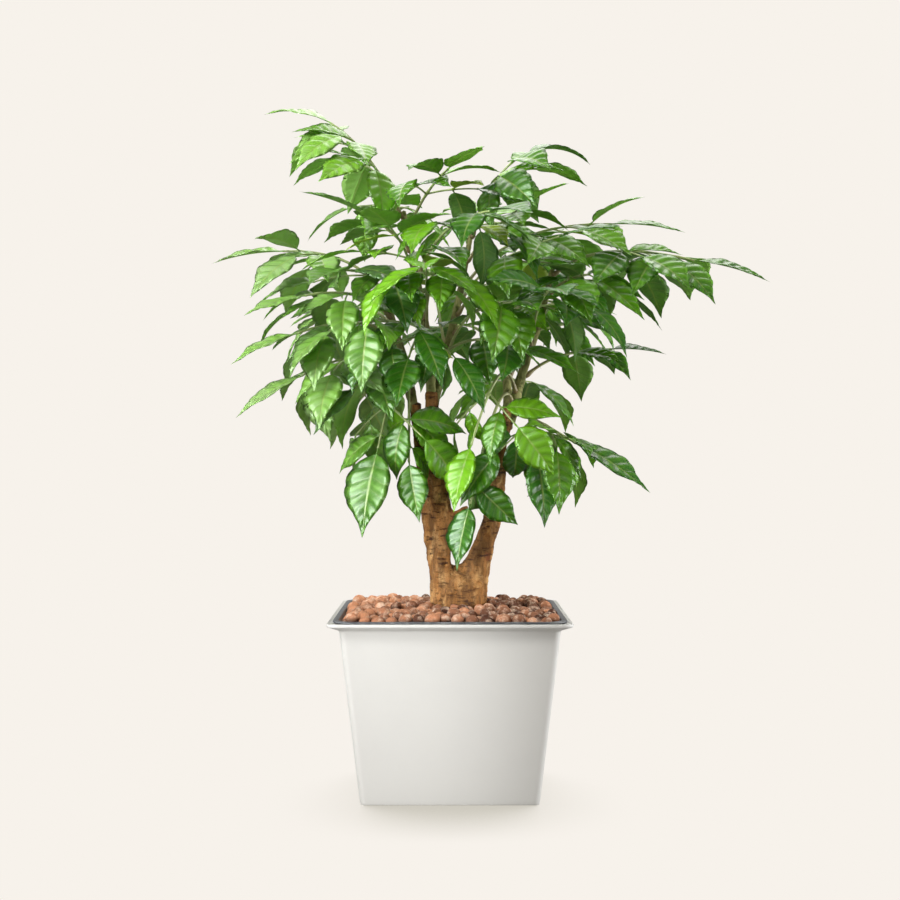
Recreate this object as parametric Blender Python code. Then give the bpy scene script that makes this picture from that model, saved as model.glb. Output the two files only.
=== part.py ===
"""Potted china doll plant. A stout bole splits into three woody stems, and five young shoots on them
carry compound leaves. The plant stands in potting soil in a dark grow pot, under a layer of clay
pebbles, and the grow pot hangs by its lip in a square white pot.

Metres, +Z up. The origin is the middle of the white pot's underside, and -Y is the front.
"""

import collections
import itertools
import math
import random

import bmesh
import bpy
import numpy as np
from mathutils import Vector
from mathutils.bvhtree import BVHTree
from mathutils.geometry import delaunay_2d_cdt

# Clearance left between pieces that touch
FIT = 0.0003

# White pot: a square taper with a flared rim
POT_HEIGHT = 0.160
POT_BASE = 0.157
POT_TOP = 0.191
POT_WALL = 0.0035
POT_FLOOR = 0.005
POT_CORNER = 0.006
FOOT_SOFTENING = 0.001
RIM_WIDTH = 0.212
RIM_DEPTH = 0.0075
RIM_EDGE = 0.0018
RIM_CORNER = 0.009
MOUTH_WIDTH = 0.1975
MOUTH_DEPTH = 0.010

# Grow pot: a thin shell that hangs by its lip on the white pot's rim
LINER_PLAY = 0.001
LINER_WALL = 0.0013
LINER_CORNER = 0.018
LIP_WIDTH = 0.2035
LIP_HEIGHT = 0.0016

# Soil and clay pebbles
SOIL_TOP = 0.149
PEBBLE_PITCH = 0.0172
PEBBLE_TOP = 0.1655
PEBBLE_SADDLE = 0.1615
PEBBLE_VALLEY = 0.1575
PEBBLE_EDGE = 0.1585
MOUND = 0.0035
HOLE_SIDES = 14

# Round pieces: points on a corner arc, and sides of the stems
CORNER_POINTS = 3
STEM_SIDES = 8
SHOOT_SIDES = 5
STEM_STEP = 0.022

# Bole and stems: x, y, z and radius of the middle line's points, from the root end up
BOLE_FLATNESS = 0.80
STEMS = {
    "bole": [
        (0.0060, 0.0, 0.085, 0.0130),
        (0.0075, 0.0, 0.115, 0.0215),
        (0.0080, 0.0, 0.145, 0.0258),
        (0.0080, 0.0, 0.168, 0.0264),
        (0.0075, 0.0, 0.184, 0.0252),
        (0.0068, 0.0, 0.195, 0.0195),
        (0.0066, 0.0, 0.199, 0.0080),
    ],
    "left_stem": [
        (-0.0045, -0.004, 0.168, 0.0110),
        (-0.0070, -0.005, 0.190, 0.0100),
        (-0.0080, -0.006, 0.220, 0.0082),
        (-0.0078, -0.006, 0.250, 0.0088),
        (-0.0110, -0.006, 0.282, 0.0083),
        (-0.0152, -0.006, 0.318, 0.0074),
        (-0.0170, -0.006, 0.362, 0.0062),
    ],
    "side_stem": [
        (-0.0095, 0.003, 0.174, 0.0076),
        (-0.0130, 0.003, 0.200, 0.0068),
        (-0.0182, 0.002, 0.232, 0.0060),
        (-0.0225, 0.002, 0.260, 0.0056),
        (-0.0285, 0.004, 0.315, 0.0052),
        (-0.0315, 0.006, 0.352, 0.0048),
    ],
    "right_stem": [
        (0.0170, 0.000, 0.150, 0.0165),
        (0.0200, 0.000, 0.188, 0.0150),
        (0.0305, 0.000, 0.219, 0.0100),
        (0.0395, 0.001, 0.250, 0.0083),
        (0.0425, 0.001, 0.288, 0.0098),
        (0.0460, 0.001, 0.318, 0.0076),
        (0.0560, 0.000, 0.346, 0.0062),
    ],
    "cut_twig": [
        (-0.0080, -0.005, 0.243, 0.0030),
        (0.0040, -0.008, 0.250, 0.0026),
        (0.0160, -0.010, 0.257, 0.0023),
    ],
}
SHOOTS = {
    "left": [
        (-0.0318, 0.006, 0.340, 0.0042),
        (-0.0400, 0.009, 0.385, 0.0036),
        (-0.0520, 0.012, 0.425, 0.0030),
        (-0.0600, 0.014, 0.460, 0.0022),
    ],
    "crown": [
        (-0.0168, -0.006, 0.350, 0.0048),
        (-0.0200, -0.004, 0.405, 0.0040),
        (-0.0300, 0.001, 0.465, 0.0032),
        (-0.0430, 0.003, 0.530, 0.0022),
    ],
    "middle": [
        (-0.0165, -0.004, 0.345, 0.0045),
        (-0.0050, 0.012, 0.395, 0.0039),
        (0.0080, 0.022, 0.450, 0.0032),
        (0.0200, 0.027, 0.515, 0.0022),
    ],
    "right": [
        (0.0550, 0.000, 0.335, 0.0052),
        (0.0680, -0.004, 0.385, 0.0042),
        (0.0830, -0.006, 0.430, 0.0032),
        (0.0940, -0.005, 0.475, 0.0022),
    ],
    "rear": [
        (0.0530, 0.002, 0.330, 0.0050),
        (0.0540, 0.030, 0.370, 0.0040),
        (0.0480, 0.052, 0.415, 0.0032),
        (0.0440, 0.062, 0.460, 0.0022),
    ],
}

# Leaves: the shoot, how far up it the leaf stands, where the end leaflet's tip is, the leaf's kind,
# the end leaflet's length, how high the stalk arches as a share of the leaf's reach, and how far the
# leaflets hang, from 0 to 1
Leaf = collections.namedtuple("Leaf", "shoot share tip kind length arch droop")
LEAVES = [
    Leaf("crown", 0.97, (-0.171, -0.012, 0.616), "double", 0.068, 0.30, 0.55),
    Leaf("crown", 0.80, (-0.136, -0.035, 0.542), "plain", 0.074, 0.14, 0.1),
    Leaf("middle", 0.97, (0.131, 0.000, 0.572), "forked", 0.068, 0.42, 0.45),
    Leaf("middle", 0.84, (0.106, -0.060, 0.545), "plain", 0.060, 0.12, 0.1),
    Leaf("crown", 0.90, (0.030, -0.115, 0.566), "forked", 0.064, 0.14, 0.2),
    Leaf("middle", 0.91, (0.045, 0.150, 0.562), "forked", 0.064, 0.12, 0.2),
    Leaf("crown", 0.93, (-0.090, 0.120, 0.562), "forked", 0.064, 0.12, 0.2),
    Leaf("middle", 0.70, (0.222, 0.020, 0.513), "double", 0.074, 0.20, -0.1),
    Leaf("right", 0.97, (0.292, -0.020, 0.462), "double", 0.072, 0.15, -0.2),
    Leaf("right", 0.84, (0.178, -0.078, 0.453), "forked", 0.070, 0.15, 0.3),
    Leaf("middle", 0.45, (0.147, -0.055, 0.410), "forked", 0.064, 0.20, 0.3),
    Leaf("right", 0.30, (0.204, 0.020, 0.399), "plain", 0.056, 0.14, 0.0),
    Leaf("crown", 0.20, (0.115, -0.062, 0.376), "plain", 0.062, 0.20, 0.1),
    Leaf("rear", 0.14, (0.183, -0.018, 0.270), "forked", 0.084, 0.02, 0.1),
    Leaf("right", 0.05, (0.088, -0.052, 0.240), "forked", 0.068, 0.24, 0.8),
    Leaf("left", 0.12, (-0.078, -0.056, 0.231), "forked", 0.084, 0.26, 0.9),
    Leaf("left", 0.31, (-0.194, -0.030, 0.338), "forked", 0.072, 0.19, 0.1),
    Leaf("left", 0.22, (-0.119, -0.078, 0.322), "plain", 0.066, 0.20, 0.5),
    Leaf("left", 0.58, (-0.198, -0.034, 0.386), "forked", 0.068, 0.17, 0.1),
    Leaf("left", 0.76, (-0.180, -0.078, 0.426), "forked", 0.066, 0.16, 0.2),
    Leaf("left", 0.96, (-0.224, 0.020, 0.484), "forked", 0.070, 0.20, 0.0),
    Leaf("left", 0.88, (-0.120, -0.120, 0.448), "forked", 0.068, 0.16, 0.4),
    Leaf("crown", 0.36, (-0.020, -0.190, 0.452), "double", 0.066, 0.18, 0.5),
    Leaf("right", 0.48, (0.095, -0.170, 0.434), "forked", 0.068, 0.18, 0.5),
    Leaf("left", 0.43, (-0.085, -0.160, 0.392), "forked", 0.066, 0.18, 0.5),
    Leaf("crown", 0.66, (0.068, -0.160, 0.502), "forked", 0.066, 0.16, 0.3),
    Leaf("crown", 0.52, (-0.070, -0.150, 0.508), "forked", 0.066, 0.16, 0.3),
    Leaf("right", 0.19, (0.003, -0.064, 0.254), "forked", 0.064, 0.30, 0.6),
    Leaf("crown", 0.26, (-0.045, -0.120, 0.345), "forked", 0.064, 0.22, 0.7),
    Leaf("right", 0.11, (0.006, -0.048, 0.201), "plain", 0.062, 0.22, 0.9),
    Leaf("left", 0.17, (-0.038, -0.050, 0.243), "plain", 0.058, 0.26, 0.9),
    Leaf("crown", 0.44, (-0.002, -0.112, 0.472), "plain", 0.062, 0.20, 0.4),
    Leaf("middle", 0.26, (0.058, -0.100, 0.432), "plain", 0.062, 0.22, 0.4),
    Leaf("middle", 0.55, (0.150, -0.090, 0.502), "forked", 0.066, 0.16, 0.3),
    Leaf("rear", 0.97, (0.050, 0.230, 0.450), "forked", 0.066, 0.16, 0.3),
    Leaf("rear", 0.80, (0.165, 0.165, 0.440), "forked", 0.066, 0.16, 0.3),
    Leaf("rear", 0.62, (-0.050, 0.205, 0.420), "forked", 0.066, 0.16, 0.3),
    Leaf("rear", 0.42, (0.125, 0.160, 0.480), "forked", 0.066, 0.18, 0.3),
    Leaf("rear", 0.22, (0.030, 0.185, 0.365), "forked", 0.066, 0.20, 0.4),
    Leaf("left", 0.68, (-0.155, 0.140, 0.425), "forked", 0.066, 0.16, 0.3),
    Leaf("left", 0.18, (-0.120, 0.110, 0.310), "plain", 0.066, 0.22, 0.5),
    Leaf("middle", 0.36, (-0.030, 0.185, 0.505), "forked", 0.066, 0.18, 0.3),
    Leaf("middle", 0.62, (0.120, 0.135, 0.515), "plain", 0.066, 0.16, 0.2),
]

# Where each kind of leaf branches, as shares of its stalk, and whether that pair forks again
KINDS = {
    "plain": [(0.60, False), (0.86, False)],
    "forked": [(0.52, True), (0.86, False)],
    "double": [(0.40, True), (0.66, True), (0.89, False)],
}

# Leaf stalks, as half widths of their square section
STALK_BASE = 0.0021
STALK_FOOT = 0.0014
FOOT_REACH = 0.0029
STALK_END = 0.0009
FORK_STALK = 0.0008
JOINT = 0.0012
FOOT_LENGTH = 0.007
FORK_LENGTH = 0.040
FORK_JOINT = 0.50
FORK_ANGLE = math.radians(54)
FORK_SAG = 0.35

# Leaflets
BLADE_THICKNESS = 0.0007
SIDE_LENGTH = 0.92
FORK_LEAF_LENGTH = 0.94
INNER_LENGTH = 0.84
LARGEST_SIDE = 0.070
WIDTH_TO_LENGTH = 0.48
LEAFLET_ANGLE = math.radians(56)
LEAFLET_DIP = (0.12, 0.45)
LEAFLET_BEND = (0.60, 0.95)
LEAFLET_FOLD = 0.20
BARE_SHARE = 0.07
SMALL_BLADE = 0.067
SMALL_STATIONS = (0.30, 0.64)
LARGE_STATIONS = (0.22, 0.48, 0.76)

# Where the light comes from: leaflets turn their upper sides partly towards it
LIGHT = (-0.20, -0.50, 0.84)
LIGHT_SHARE = 0.5

# Clearance tests: where along a blade they are made, and how much thicker and wider it is taken
TEST_STATIONS = (0.02, 0.09, 0.24, 0.40, 0.58, 0.78, 1.0)
TEST_THICKNESS = 0.0030
TEST_WIDER = 0.0012
TEST_STALK = 0.0016
TEST_FROM_FOOT = 0.004
MOST_BEHIND = 0.001
LEAST_TWIST_COSINE = math.cos(math.radians(55))

GROWTH_SEED = 11
PEBBLE_SEED = 5

COLOURS = {
    "white pot": ((0.86, 0.86, 0.84), 0.45),
    "grow pot": ((0.045, 0.05, 0.055), 0.4),
    "soil": ((0.06, 0.04, 0.03), 0.95),
    "clay": ((0.55, 0.27, 0.17), 0.85),
    "bark": ((0.42, 0.27, 0.13), 0.8),
    "leaf": ((0.09, 0.30, 0.03), 0.3),
}


def clear_scene():
    for obj in list(bpy.data.objects):
        bpy.data.objects.remove(obj)


def material(name):
    """A Principled material of one of the named colours, made once."""
    found = bpy.data.materials.get(name)
    if found:
        return found
    colour, roughness = COLOURS[name]
    made = bpy.data.materials.new(name)
    made.use_nodes = True
    shader = made.node_tree.nodes["Principled BSDF"]
    shader.inputs["Base Color"].default_value = (*colour, 1.0)
    shader.inputs["Roughness"].default_value = roughness
    return made


def add_object(name, points, faces, finish):
    """An object of these points and faces, with its normals turned outwards."""
    mesh = bpy.data.meshes.new(name)
    mesh.from_pydata([tuple(p) for p in points], [], [tuple(f) for f in faces])
    work = bmesh.new()
    work.from_mesh(mesh)
    bmesh.ops.recalc_face_normals(work, faces=work.faces)
    work.to_mesh(mesh)
    work.free()
    mesh.materials.append(material(finish))
    mesh.shade_smooth()
    mesh.set_sharp_from_angle(angle=math.radians(35))
    obj = bpy.data.objects.new(name, mesh)
    bpy.context.scene.collection.objects.link(obj)
    return obj


def unit(v):
    return v / np.linalg.norm(v)


def turned(v, axis, angle):
    """v turned about a unit axis by the right-hand rule."""
    c, s = math.cos(angle), math.sin(angle)
    return v * c + np.cross(axis, v) * s + axis * (axis @ v) * (1 - c)


# Pots, soil and pebbles


def rounded_square(width, corner, z):
    """Points round a square of this width with rounded corners, at height z."""
    reach = width / 2 - corner
    points = []
    for quarter in range(4):
        start = quarter * math.pi / 2
        cx = reach * (1 if quarter in (0, 3) else -1)
        cy = reach * (1 if quarter in (0, 1) else -1)
        for k in range(CORNER_POINTS + 1):
            a = start + k * math.pi / 2 / CORNER_POINTS
            points.append((cx + corner * math.cos(a), cy + corner * math.sin(a), z))
    return points


def lofted(rings):
    """Points and faces of a closed skin through rings of equal length, filled at both ends."""
    count = len(rings[0])
    points = [p for ring in rings for p in ring]
    faces = []
    for level in range(len(rings) - 1):
        for k in range(count):
            a, b = level * count + k, level * count + (k + 1) % count
            faces.append((a, b, b + count, a + count))
    faces.append(tuple(range(count)))
    faces.append(tuple(range((len(rings) - 1) * count, len(rings) * count)))
    return points, faces


def pot_inside(z):
    """Inner width of the white pot at height z: a taper, and a wider mouth above it."""
    mouth = POT_HEIGHT - MOUTH_DEPTH
    share = min(z, mouth) / (POT_HEIGHT - RIM_DEPTH)
    tapered = POT_BASE + (POT_TOP - POT_BASE) * share - 2 * POT_WALL
    return tapered + (MOUTH_WIDTH - tapered) * max(0.0, z - mouth) / MOUTH_DEPTH


def liner_outside(z):
    return pot_inside(z) - 2 * LINER_PLAY


def liner_inside(z):
    return liner_outside(z) - 2 * LINER_WALL


def make_pot():
    rim_foot = POT_HEIGHT - RIM_DEPTH
    mouth = POT_HEIGHT - MOUTH_DEPTH
    inner_corner = POT_CORNER - POT_WALL / 2
    profile = [
        (POT_BASE - 2 * FOOT_SOFTENING, POT_CORNER - FOOT_SOFTENING, 0.0),
        (POT_BASE, POT_CORNER, FOOT_SOFTENING),
        (POT_TOP, POT_CORNER, rim_foot),
        (POT_TOP + 0.004, POT_CORNER + 0.001, rim_foot + 0.0022),
        (RIM_WIDTH, RIM_CORNER, POT_HEIGHT - RIM_EDGE),
        (RIM_WIDTH, RIM_CORNER, POT_HEIGHT - 0.0006),
        (RIM_WIDTH - 0.0012, RIM_CORNER - 0.0006, POT_HEIGHT),
        (pot_inside(POT_HEIGHT), inner_corner, POT_HEIGHT),
        (pot_inside(mouth), inner_corner, mouth),
        (pot_inside(POT_FLOOR), inner_corner, POT_FLOOR),
    ]
    add_object("pot", *lofted([rounded_square(*row) for row in profile]), "white pot")


def make_liner():
    foot = POT_FLOOR + FIT
    mouth = POT_HEIGHT - MOUTH_DEPTH
    seat = POT_HEIGHT + FIT
    top = seat + LIP_HEIGHT
    floor = foot + LINER_WALL
    inner_corner = LINER_CORNER - LINER_WALL
    profile = [
        (liner_outside(foot) - 0.002, LINER_CORNER, foot),
        (liner_outside(foot) - 0.0002, LINER_CORNER, foot + 0.0012),
        (liner_outside(mouth), LINER_CORNER, mouth),
        (liner_outside(POT_HEIGHT), LINER_CORNER, POT_HEIGHT),
        (liner_outside(seat) + 0.0006, LINER_CORNER, seat),
        (LIP_WIDTH, LINER_CORNER, seat),
        (LIP_WIDTH - 0.0006, LINER_CORNER, top),
        (liner_inside(POT_HEIGHT) + 0.0008, inner_corner, top),
        (liner_inside(POT_HEIGHT), inner_corner, POT_HEIGHT),
        (liner_inside(mouth), inner_corner, mouth),
        (liner_inside(floor), inner_corner, floor),
    ]
    add_object("grow_pot", *lofted([rounded_square(*row) for row in profile]), "grow pot")


def bole_outline(z, grow, sides):
    """Points round the bole at height z, taken wider by grow."""
    x, y, _, radius = stem_at(STEMS["bole"], z)
    points = []
    for k in range(sides):
        a = 2 * math.pi * k / sides
        across = (radius + grow) * math.cos(a)
        points.append((x + across, y + (radius * BOLE_FLATNESS + grow) * math.sin(a), z))
    return points


def stem_at(rows, z):
    """The row of a stem at height z, read in straight lines between its rows."""
    table = np.array(rows)
    return [float(np.interp(z, table[:, 2], table[:, k])) for k in range(4)]


def make_soil():
    """A block of soil with a plain hole, a little wider than the bole, where the bole stands."""
    foot = POT_FLOOR + LINER_WALL + 2 * FIT
    corner = LINER_CORNER - LINER_WALL
    rings = [
        rounded_square(liner_inside(z) - 3 * FIT, corner - FIT, z) for z in (foot, SOIL_TOP)
    ]
    soil = add_object("soil", *lofted(rings), "soil")
    heights = (STEMS["bole"][0][2] - 0.0015, 0.115, 0.145, SOIL_TOP + 0.01)
    hole = [bole_outline(z, 0.0006, HOLE_SIDES) for z in heights]
    cutter = add_object("stem_hole", *lofted(hole), "soil")
    cutter.hide_render = True
    cutter.display_type = "WIRE"
    cut = soil.modifiers.new("stem hole", "BOOLEAN")
    cut.operation = "DIFFERENCE"
    cut.object = cutter


def pebble_centres():
    """Middle points of the pebbles: staggered rows, each point moved a little at random."""
    draw = random.Random(PEBBLE_SEED)
    half = liner_inside(PEBBLE_EDGE) / 2 - 0.42 * PEBBLE_PITCH
    rows = round(2 * half / (PEBBLE_PITCH * math.sqrt(3) / 2))
    step = 2 * half / rows
    x0, y0, _, radius = stem_at(STEMS["bole"], PEBBLE_TOP)
    centres = []
    for j in range(rows + 1):
        shift = PEBBLE_PITCH / 2 * (j % 2)
        for i in range(int((2 * half - shift) / PEBBLE_PITCH) + 1):
            x = -half + shift + i * PEBBLE_PITCH + draw.uniform(-0.0016, 0.0016)
            y = -half + j * step + draw.uniform(-0.0016, 0.0016)
            lift = draw.uniform(-0.0012, 0.0012)
            corner = abs(x) + abs(y) > 2 * half - 0.4 * LINER_CORNER
            inside = math.hypot(x - x0, (y - y0) / BOLE_FLATNESS) < radius + 0.4 * PEBBLE_PITCH
            if not corner and not inside:
                centres.append((x, y, lift))
    return centres


def make_pebbles():
    """The top layer of clay pebbles in one body: a dome over each middle point, a saddle where two
    pebbles touch and a dip between three, in a plate with a plain hole for the bole."""
    floor = SOIL_TOP + FIT
    width = liner_inside(PEBBLE_EDGE) - 4 * FIT
    narrower = (liner_inside(floor) - 4 * FIT) / width
    edge = rounded_square(width, LINER_CORNER, 0.0)
    hole = bole_outline(PEBBLE_TOP, 0.0006, HOLE_SIDES)
    centres = pebble_centres()
    border = [Vector(p[:2]) for p in edge + hole]
    loops = [
        list(range(len(edge))),
        list(range(len(edge), len(border))),
    ]
    edges = [(loop[k - 1], loop[k]) for loop in loops for k in range(len(loop))]
    flat = border + [Vector(c[:2]) for c in centres]
    points, _, triangles, sources, _, _ = delaunay_2d_cdt(flat, edges, [], 0, 1e-6)
    heights = []
    for k, p in enumerate(points):
        near = 1 - min(1.0, (p.length / (width / 2)) ** 2)
        inner = sources[k][0] >= len(border)
        top = PEBBLE_TOP + centres[sources[k][0] - len(border)][2] if inner else PEBBLE_EDGE
        heights.append(top + MOUND * near)
    body = bmesh.new()
    tops = [body.verts.new((p.x, p.y, h)) for p, h in zip(points, heights)]
    middles = {}

    def middle(a, b):
        key = (min(a, b), max(a, b))
        if key not in middles:
            p = (points[a] + points[b]) / 2
            near = 1 - min(1.0, (p.length / (width / 2)) ** 2)
            middles[key] = body.verts.new((p.x, p.y, PEBBLE_SADDLE + MOUND * near))
        return middles[key]

    x0, y0, _, radius = stem_at(STEMS["bole"], PEBBLE_TOP)
    for a, b, c in triangles:
        centre = (points[a] + points[b] + points[c]) / 3
        off = math.hypot(centre.x - x0, (centre.y - y0) / BOLE_FLATNESS)
        at_edge = [sources[k][0] < len(border) for k in (a, b, c)]
        if off < radius and all(at_edge):
            continue
        outside = max(abs(centre.x), abs(centre.y)) > width / 2
        if outside:
            continue
        if any(at_edge):
            body.faces.new((tops[a], tops[b], tops[c]))
            continue
        near = 1 - min(1.0, (centre.length / (width / 2)) ** 2)
        dip = body.verts.new((centre.x, centre.y, PEBBLE_VALLEY + MOUND * near))
        for p, q in ((a, b), (b, c), (c, a)):
            body.faces.new((tops[p], middle(p, q), dip))
            body.faces.new((middle(p, q), tops[q], dip))
    split_open_sides(body, middles, tops)
    rim = [e for e in body.edges if e.is_boundary]
    grown = bmesh.ops.extrude_edge_only(body, edges=rim)["geom"]
    for v in (v for v in grown if isinstance(v, bmesh.types.BMVert)):
        v.co.z = floor
        if max(abs(v.co.x), abs(v.co.y)) > 0.8 * width / 2:
            v.co.xy *= narrower
    lower = [e for e in body.edges if e.is_boundary]
    bmesh.ops.triangle_fill(body, use_beauty=True, edges=lower)
    mesh = bpy.data.meshes.new("clay_pebbles")
    bmesh.ops.recalc_face_normals(body, faces=body.faces)
    body.to_mesh(mesh)
    body.free()
    mesh.materials.append(material("clay"))
    obj = bpy.data.objects.new("clay_pebbles", mesh)
    bpy.context.scene.collection.objects.link(obj)


def split_open_sides(body, middles, tops):
    """Where a divided triangle meets a whole one, divides the whole one's side at the same point."""
    for (a, b), point in middles.items():
        plain = body.edges.get((tops[a], tops[b]))
        if plain is None:
            continue
        for face in list(plain.link_faces):
            far = next(v for v in face.verts if v not in plain.verts)
            body.faces.remove(face)
            body.faces.new((tops[a], point, far))
            body.faces.new((point, tops[b], far))
        body.edges.remove(plain)


# Bole, stems and shoots


def smooth_line(rows, step):
    """Rows x, y, z, radius along a smooth curve through the given rows, about step apart."""
    table = np.array(rows, float)
    padded = np.vstack([2 * table[0] - table[1], table, 2 * table[-1] - table[-2]])
    made = []
    for k in range(len(table) - 1):
        a, b, c, d = padded[k : k + 4]
        parts = max(1, round(np.linalg.norm(c[:3] - b[:3]) / step))
        for t in np.arange(parts) / parts:
            square, cube = t * t, t * t * t
            made.append(
                0.5 * (2 * b + (c - a) * t + (2 * a - 5 * b + 4 * c - d) * square)
                + 0.5 * (3 * b - a - 3 * c + d) * cube
            )
    return np.array([*made, table[-1]])


def tube(rows, sides, flatness=1.0):
    """Points and faces of a closed round tube along rows of x, y, z and radius."""
    centres, radii = rows[:, :3], rows[:, 3]
    along = np.gradient(centres, axis=0)
    rings = []
    for centre, radius, direction in zip(centres, radii, along):
        side = unit(np.cross(direction, (0.0, 1.0, 0.0)))
        back = unit(np.cross(side, direction))
        turn = 2 * np.pi * np.arange(sides) / sides
        ring = centre + radius * (
            np.outer(np.cos(turn), side) + np.outer(np.sin(turn) * flatness, back)
        )
        rings.append([tuple(p) for p in ring])
    return lofted(rings)


def wood_tubes():
    """Name, points and faces of each stem and shoot."""
    made = []
    for name, rows in STEMS.items():
        sides = HOLE_SIDES if name == "bole" else SHOOT_SIDES if name == "cut_twig" else STEM_SIDES
        flatness = BOLE_FLATNESS if name == "bole" else 1.0
        line = np.array(rows) if name == "bole" else smooth_line(rows, STEM_STEP)
        made.append((name, *tube(line, sides, flatness)))
    for name, rows in SHOOTS.items():
        made.append((name, *tube(smooth_line(rows, STEM_STEP), SHOOT_SIDES)))
    return made


def make_trunk():
    """Bole, stems and shoots grown together into one body."""
    helpers = bpy.data.collections.new("trunk pieces")
    bpy.context.scene.collection.children.link(helpers)
    pieces = [add_object(name, points, faces, "bark") for name, points, faces in wood_tubes()]
    trunk = pieces[0]
    trunk.name = "trunk"
    for piece in pieces[1:]:
        bpy.context.scene.collection.objects.unlink(piece)
        helpers.objects.link(piece)
    join = trunk.modifiers.new("grown together", "BOOLEAN")
    join.operation = "UNION"
    join.operand_type = "COLLECTION"
    join.collection = helpers
    join.solver = "EXACT"
    graph = bpy.context.evaluated_depsgraph_get()
    joined = bpy.data.meshes.new_from_object(trunk.evaluated_get(graph))
    trunk.modifiers.clear()
    trunk.data = joined
    for piece in pieces[1:]:
        bpy.data.objects.remove(piece)
    bpy.data.collections.remove(helpers)


# Compound leaves: the plan of each one is worked out first, and its body is made from the plan


class Crowd:
    """What is already placed, so that a new stalk or blade can be kept clear of it."""

    def __init__(self):
        self.trees = []
        self.boxes = np.zeros((0, 2, 3))

    def add(self, points, faces):
        """Adds a body and gives its number."""
        self.trees.append(BVHTree.FromPolygons([tuple(p) for p in points], faces))
        box = np.array([[np.min(points, axis=0), np.max(points, axis=0)]])
        self.boxes = np.vstack([self.boxes, box])
        return len(self.trees) - 1

    def free(self, points, faces, parent=None):
        """True if a body of these points and faces would cross nothing but the numbered parent."""
        low, high = np.min(points, axis=0), np.max(points, axis=0)
        near = (self.boxes[:, 0] < high).all(axis=1) & (self.boxes[:, 1] > low).all(axis=1)
        if parent is not None:
            near[parent] = False
        if not near.any():
            return True
        tree = BVHTree.FromPolygons([tuple(p) for p in points], faces)
        return not any(tree.overlap(self.trees[k]) for k in np.flatnonzero(near))


def half_width(t):
    """Half the width of a leaflet at share t of its length, as a share of its full width: a bare
    foot, an egg-shaped blade and a drawn-out tip."""
    u = np.clip((np.asarray(t, float) - BARE_SHARE) / (1 - BARE_SHARE), 0, 1)
    taper = np.clip((u - 0.55) / 0.40, 0, 1)
    drawn = 1 - 0.50 * taper * taper * (3 - 2 * taper)
    return 0.52 * np.sin(np.pi * u**0.74) ** 0.95 * drawn


def midrib(leaf, t):
    """Point, direction and upper side of a leaflet at share t of its midrib, which bends in an arc
    towards its lower side."""
    k = leaf["bend"]
    along, up = leaf["along"], leaf["up"]
    over, under = math.sin(k * t) / k, (1 - math.cos(k * t)) / k
    point = leaf["at"] + leaf["length"] * (over * along - under * up)
    c, s = math.cos(k * t), math.sin(k * t)
    return point, c * along - s * up, s * along + c * up


def blade_ring(leaf, t, thickness, wider=0.0):
    """Six points round a blade at share t: right, rib and left above, then left, rib and right below."""
    point, along, up = midrib(leaf, t)
    side = np.cross(along, up)
    half = float(half_width(t)) * leaf["width"] + wider
    lift = half * math.tan(leaf["fold"])
    right, left = point + side * half + up * lift, point - side * half + up * lift
    top, low = up * thickness / 2, -up * thickness / 2
    return [right + top, point + top, left + top, left + low, point + low, right + low]


def ring_faces(first, second):
    """Triangles between two six-point rings, split alike above and below."""
    a, b = first, second
    return [
        (a[0], a[1], b[1]),
        (a[0], b[1], b[0]),
        (a[2], b[1], a[1]),
        (a[2], b[2], b[1]),
        (a[3], a[4], b[4]),
        (a[3], b[4], b[3]),
        (a[5], b[4], a[4]),
        (a[5], b[5], b[4]),
        (a[2], a[3], b[3]),
        (a[2], b[3], b[2]),
        (a[5], a[0], b[0]),
        (a[5], b[0], b[5]),
    ]


def test_blade(leaf, stations):
    """Points and faces of a leaflet between these stations, a little thicker and wider than it is."""
    points, faces = [], [(0, 1, 4, 5), (1, 2, 3, 4)]
    for k, t in enumerate(stations):
        points += blade_ring(leaf, t, TEST_THICKNESS, TEST_WIDER)
        if k:
            faces += ring_faces(range(6 * k - 6, 6 * k), range(6 * k, 6 * k + 6))
    return points, faces


def leaflet(at, along, up, outward, length, droop, draw):
    """A leaflet that starts at a point, with its upper side turned partly to the light. The stalk that
    it grows on lies behind it, and outward points away from there."""
    side = unit(np.cross(along, up * (1 - LIGHT_SHARE) + np.array(LIGHT) * LIGHT_SHARE))
    dip = LEAFLET_DIP[0] + (LEAFLET_DIP[1] - LEAFLET_DIP[0]) * droop
    bend = LEAFLET_BEND[0] + (LEAFLET_BEND[1] - LEAFLET_BEND[0]) * droop
    leaf = {
        "at": np.array(at),
        "outward": outward,
        "stalk_up": up,
        "along": unit(along),
        "up": np.cross(side, unit(along)),
        "length": length,
        "width": length * WIDTH_TO_LENGTH * draw.uniform(0.92, 1.10),
        "bend": bend * draw.uniform(0.7, 1.35),
        "fold": LEAFLET_FOLD * draw.uniform(0.5, 1.6),
    }
    return varied(leaf, draw.uniform(-0.12, 0.12), dip + draw.uniform(-0.1, 0.1), 0.0, 1)


def varied(leaf, swing, dip, roll, size):
    """The leaflet swung about its upper side, dipped, rolled about its length and resized."""
    along, up = leaf["along"], leaf["up"]
    along = turned(along, up, swing)
    side = unit(np.cross(along, up))
    along, up = turned(along, side, -dip), turned(up, side, -dip)
    up = turned(up, along, roll)
    changed = dict(leaf, along=unit(along), up=unit(up))
    changed["length"] = leaf["length"] * size
    changed["width"] = leaf["width"] * size
    return changed


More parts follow.
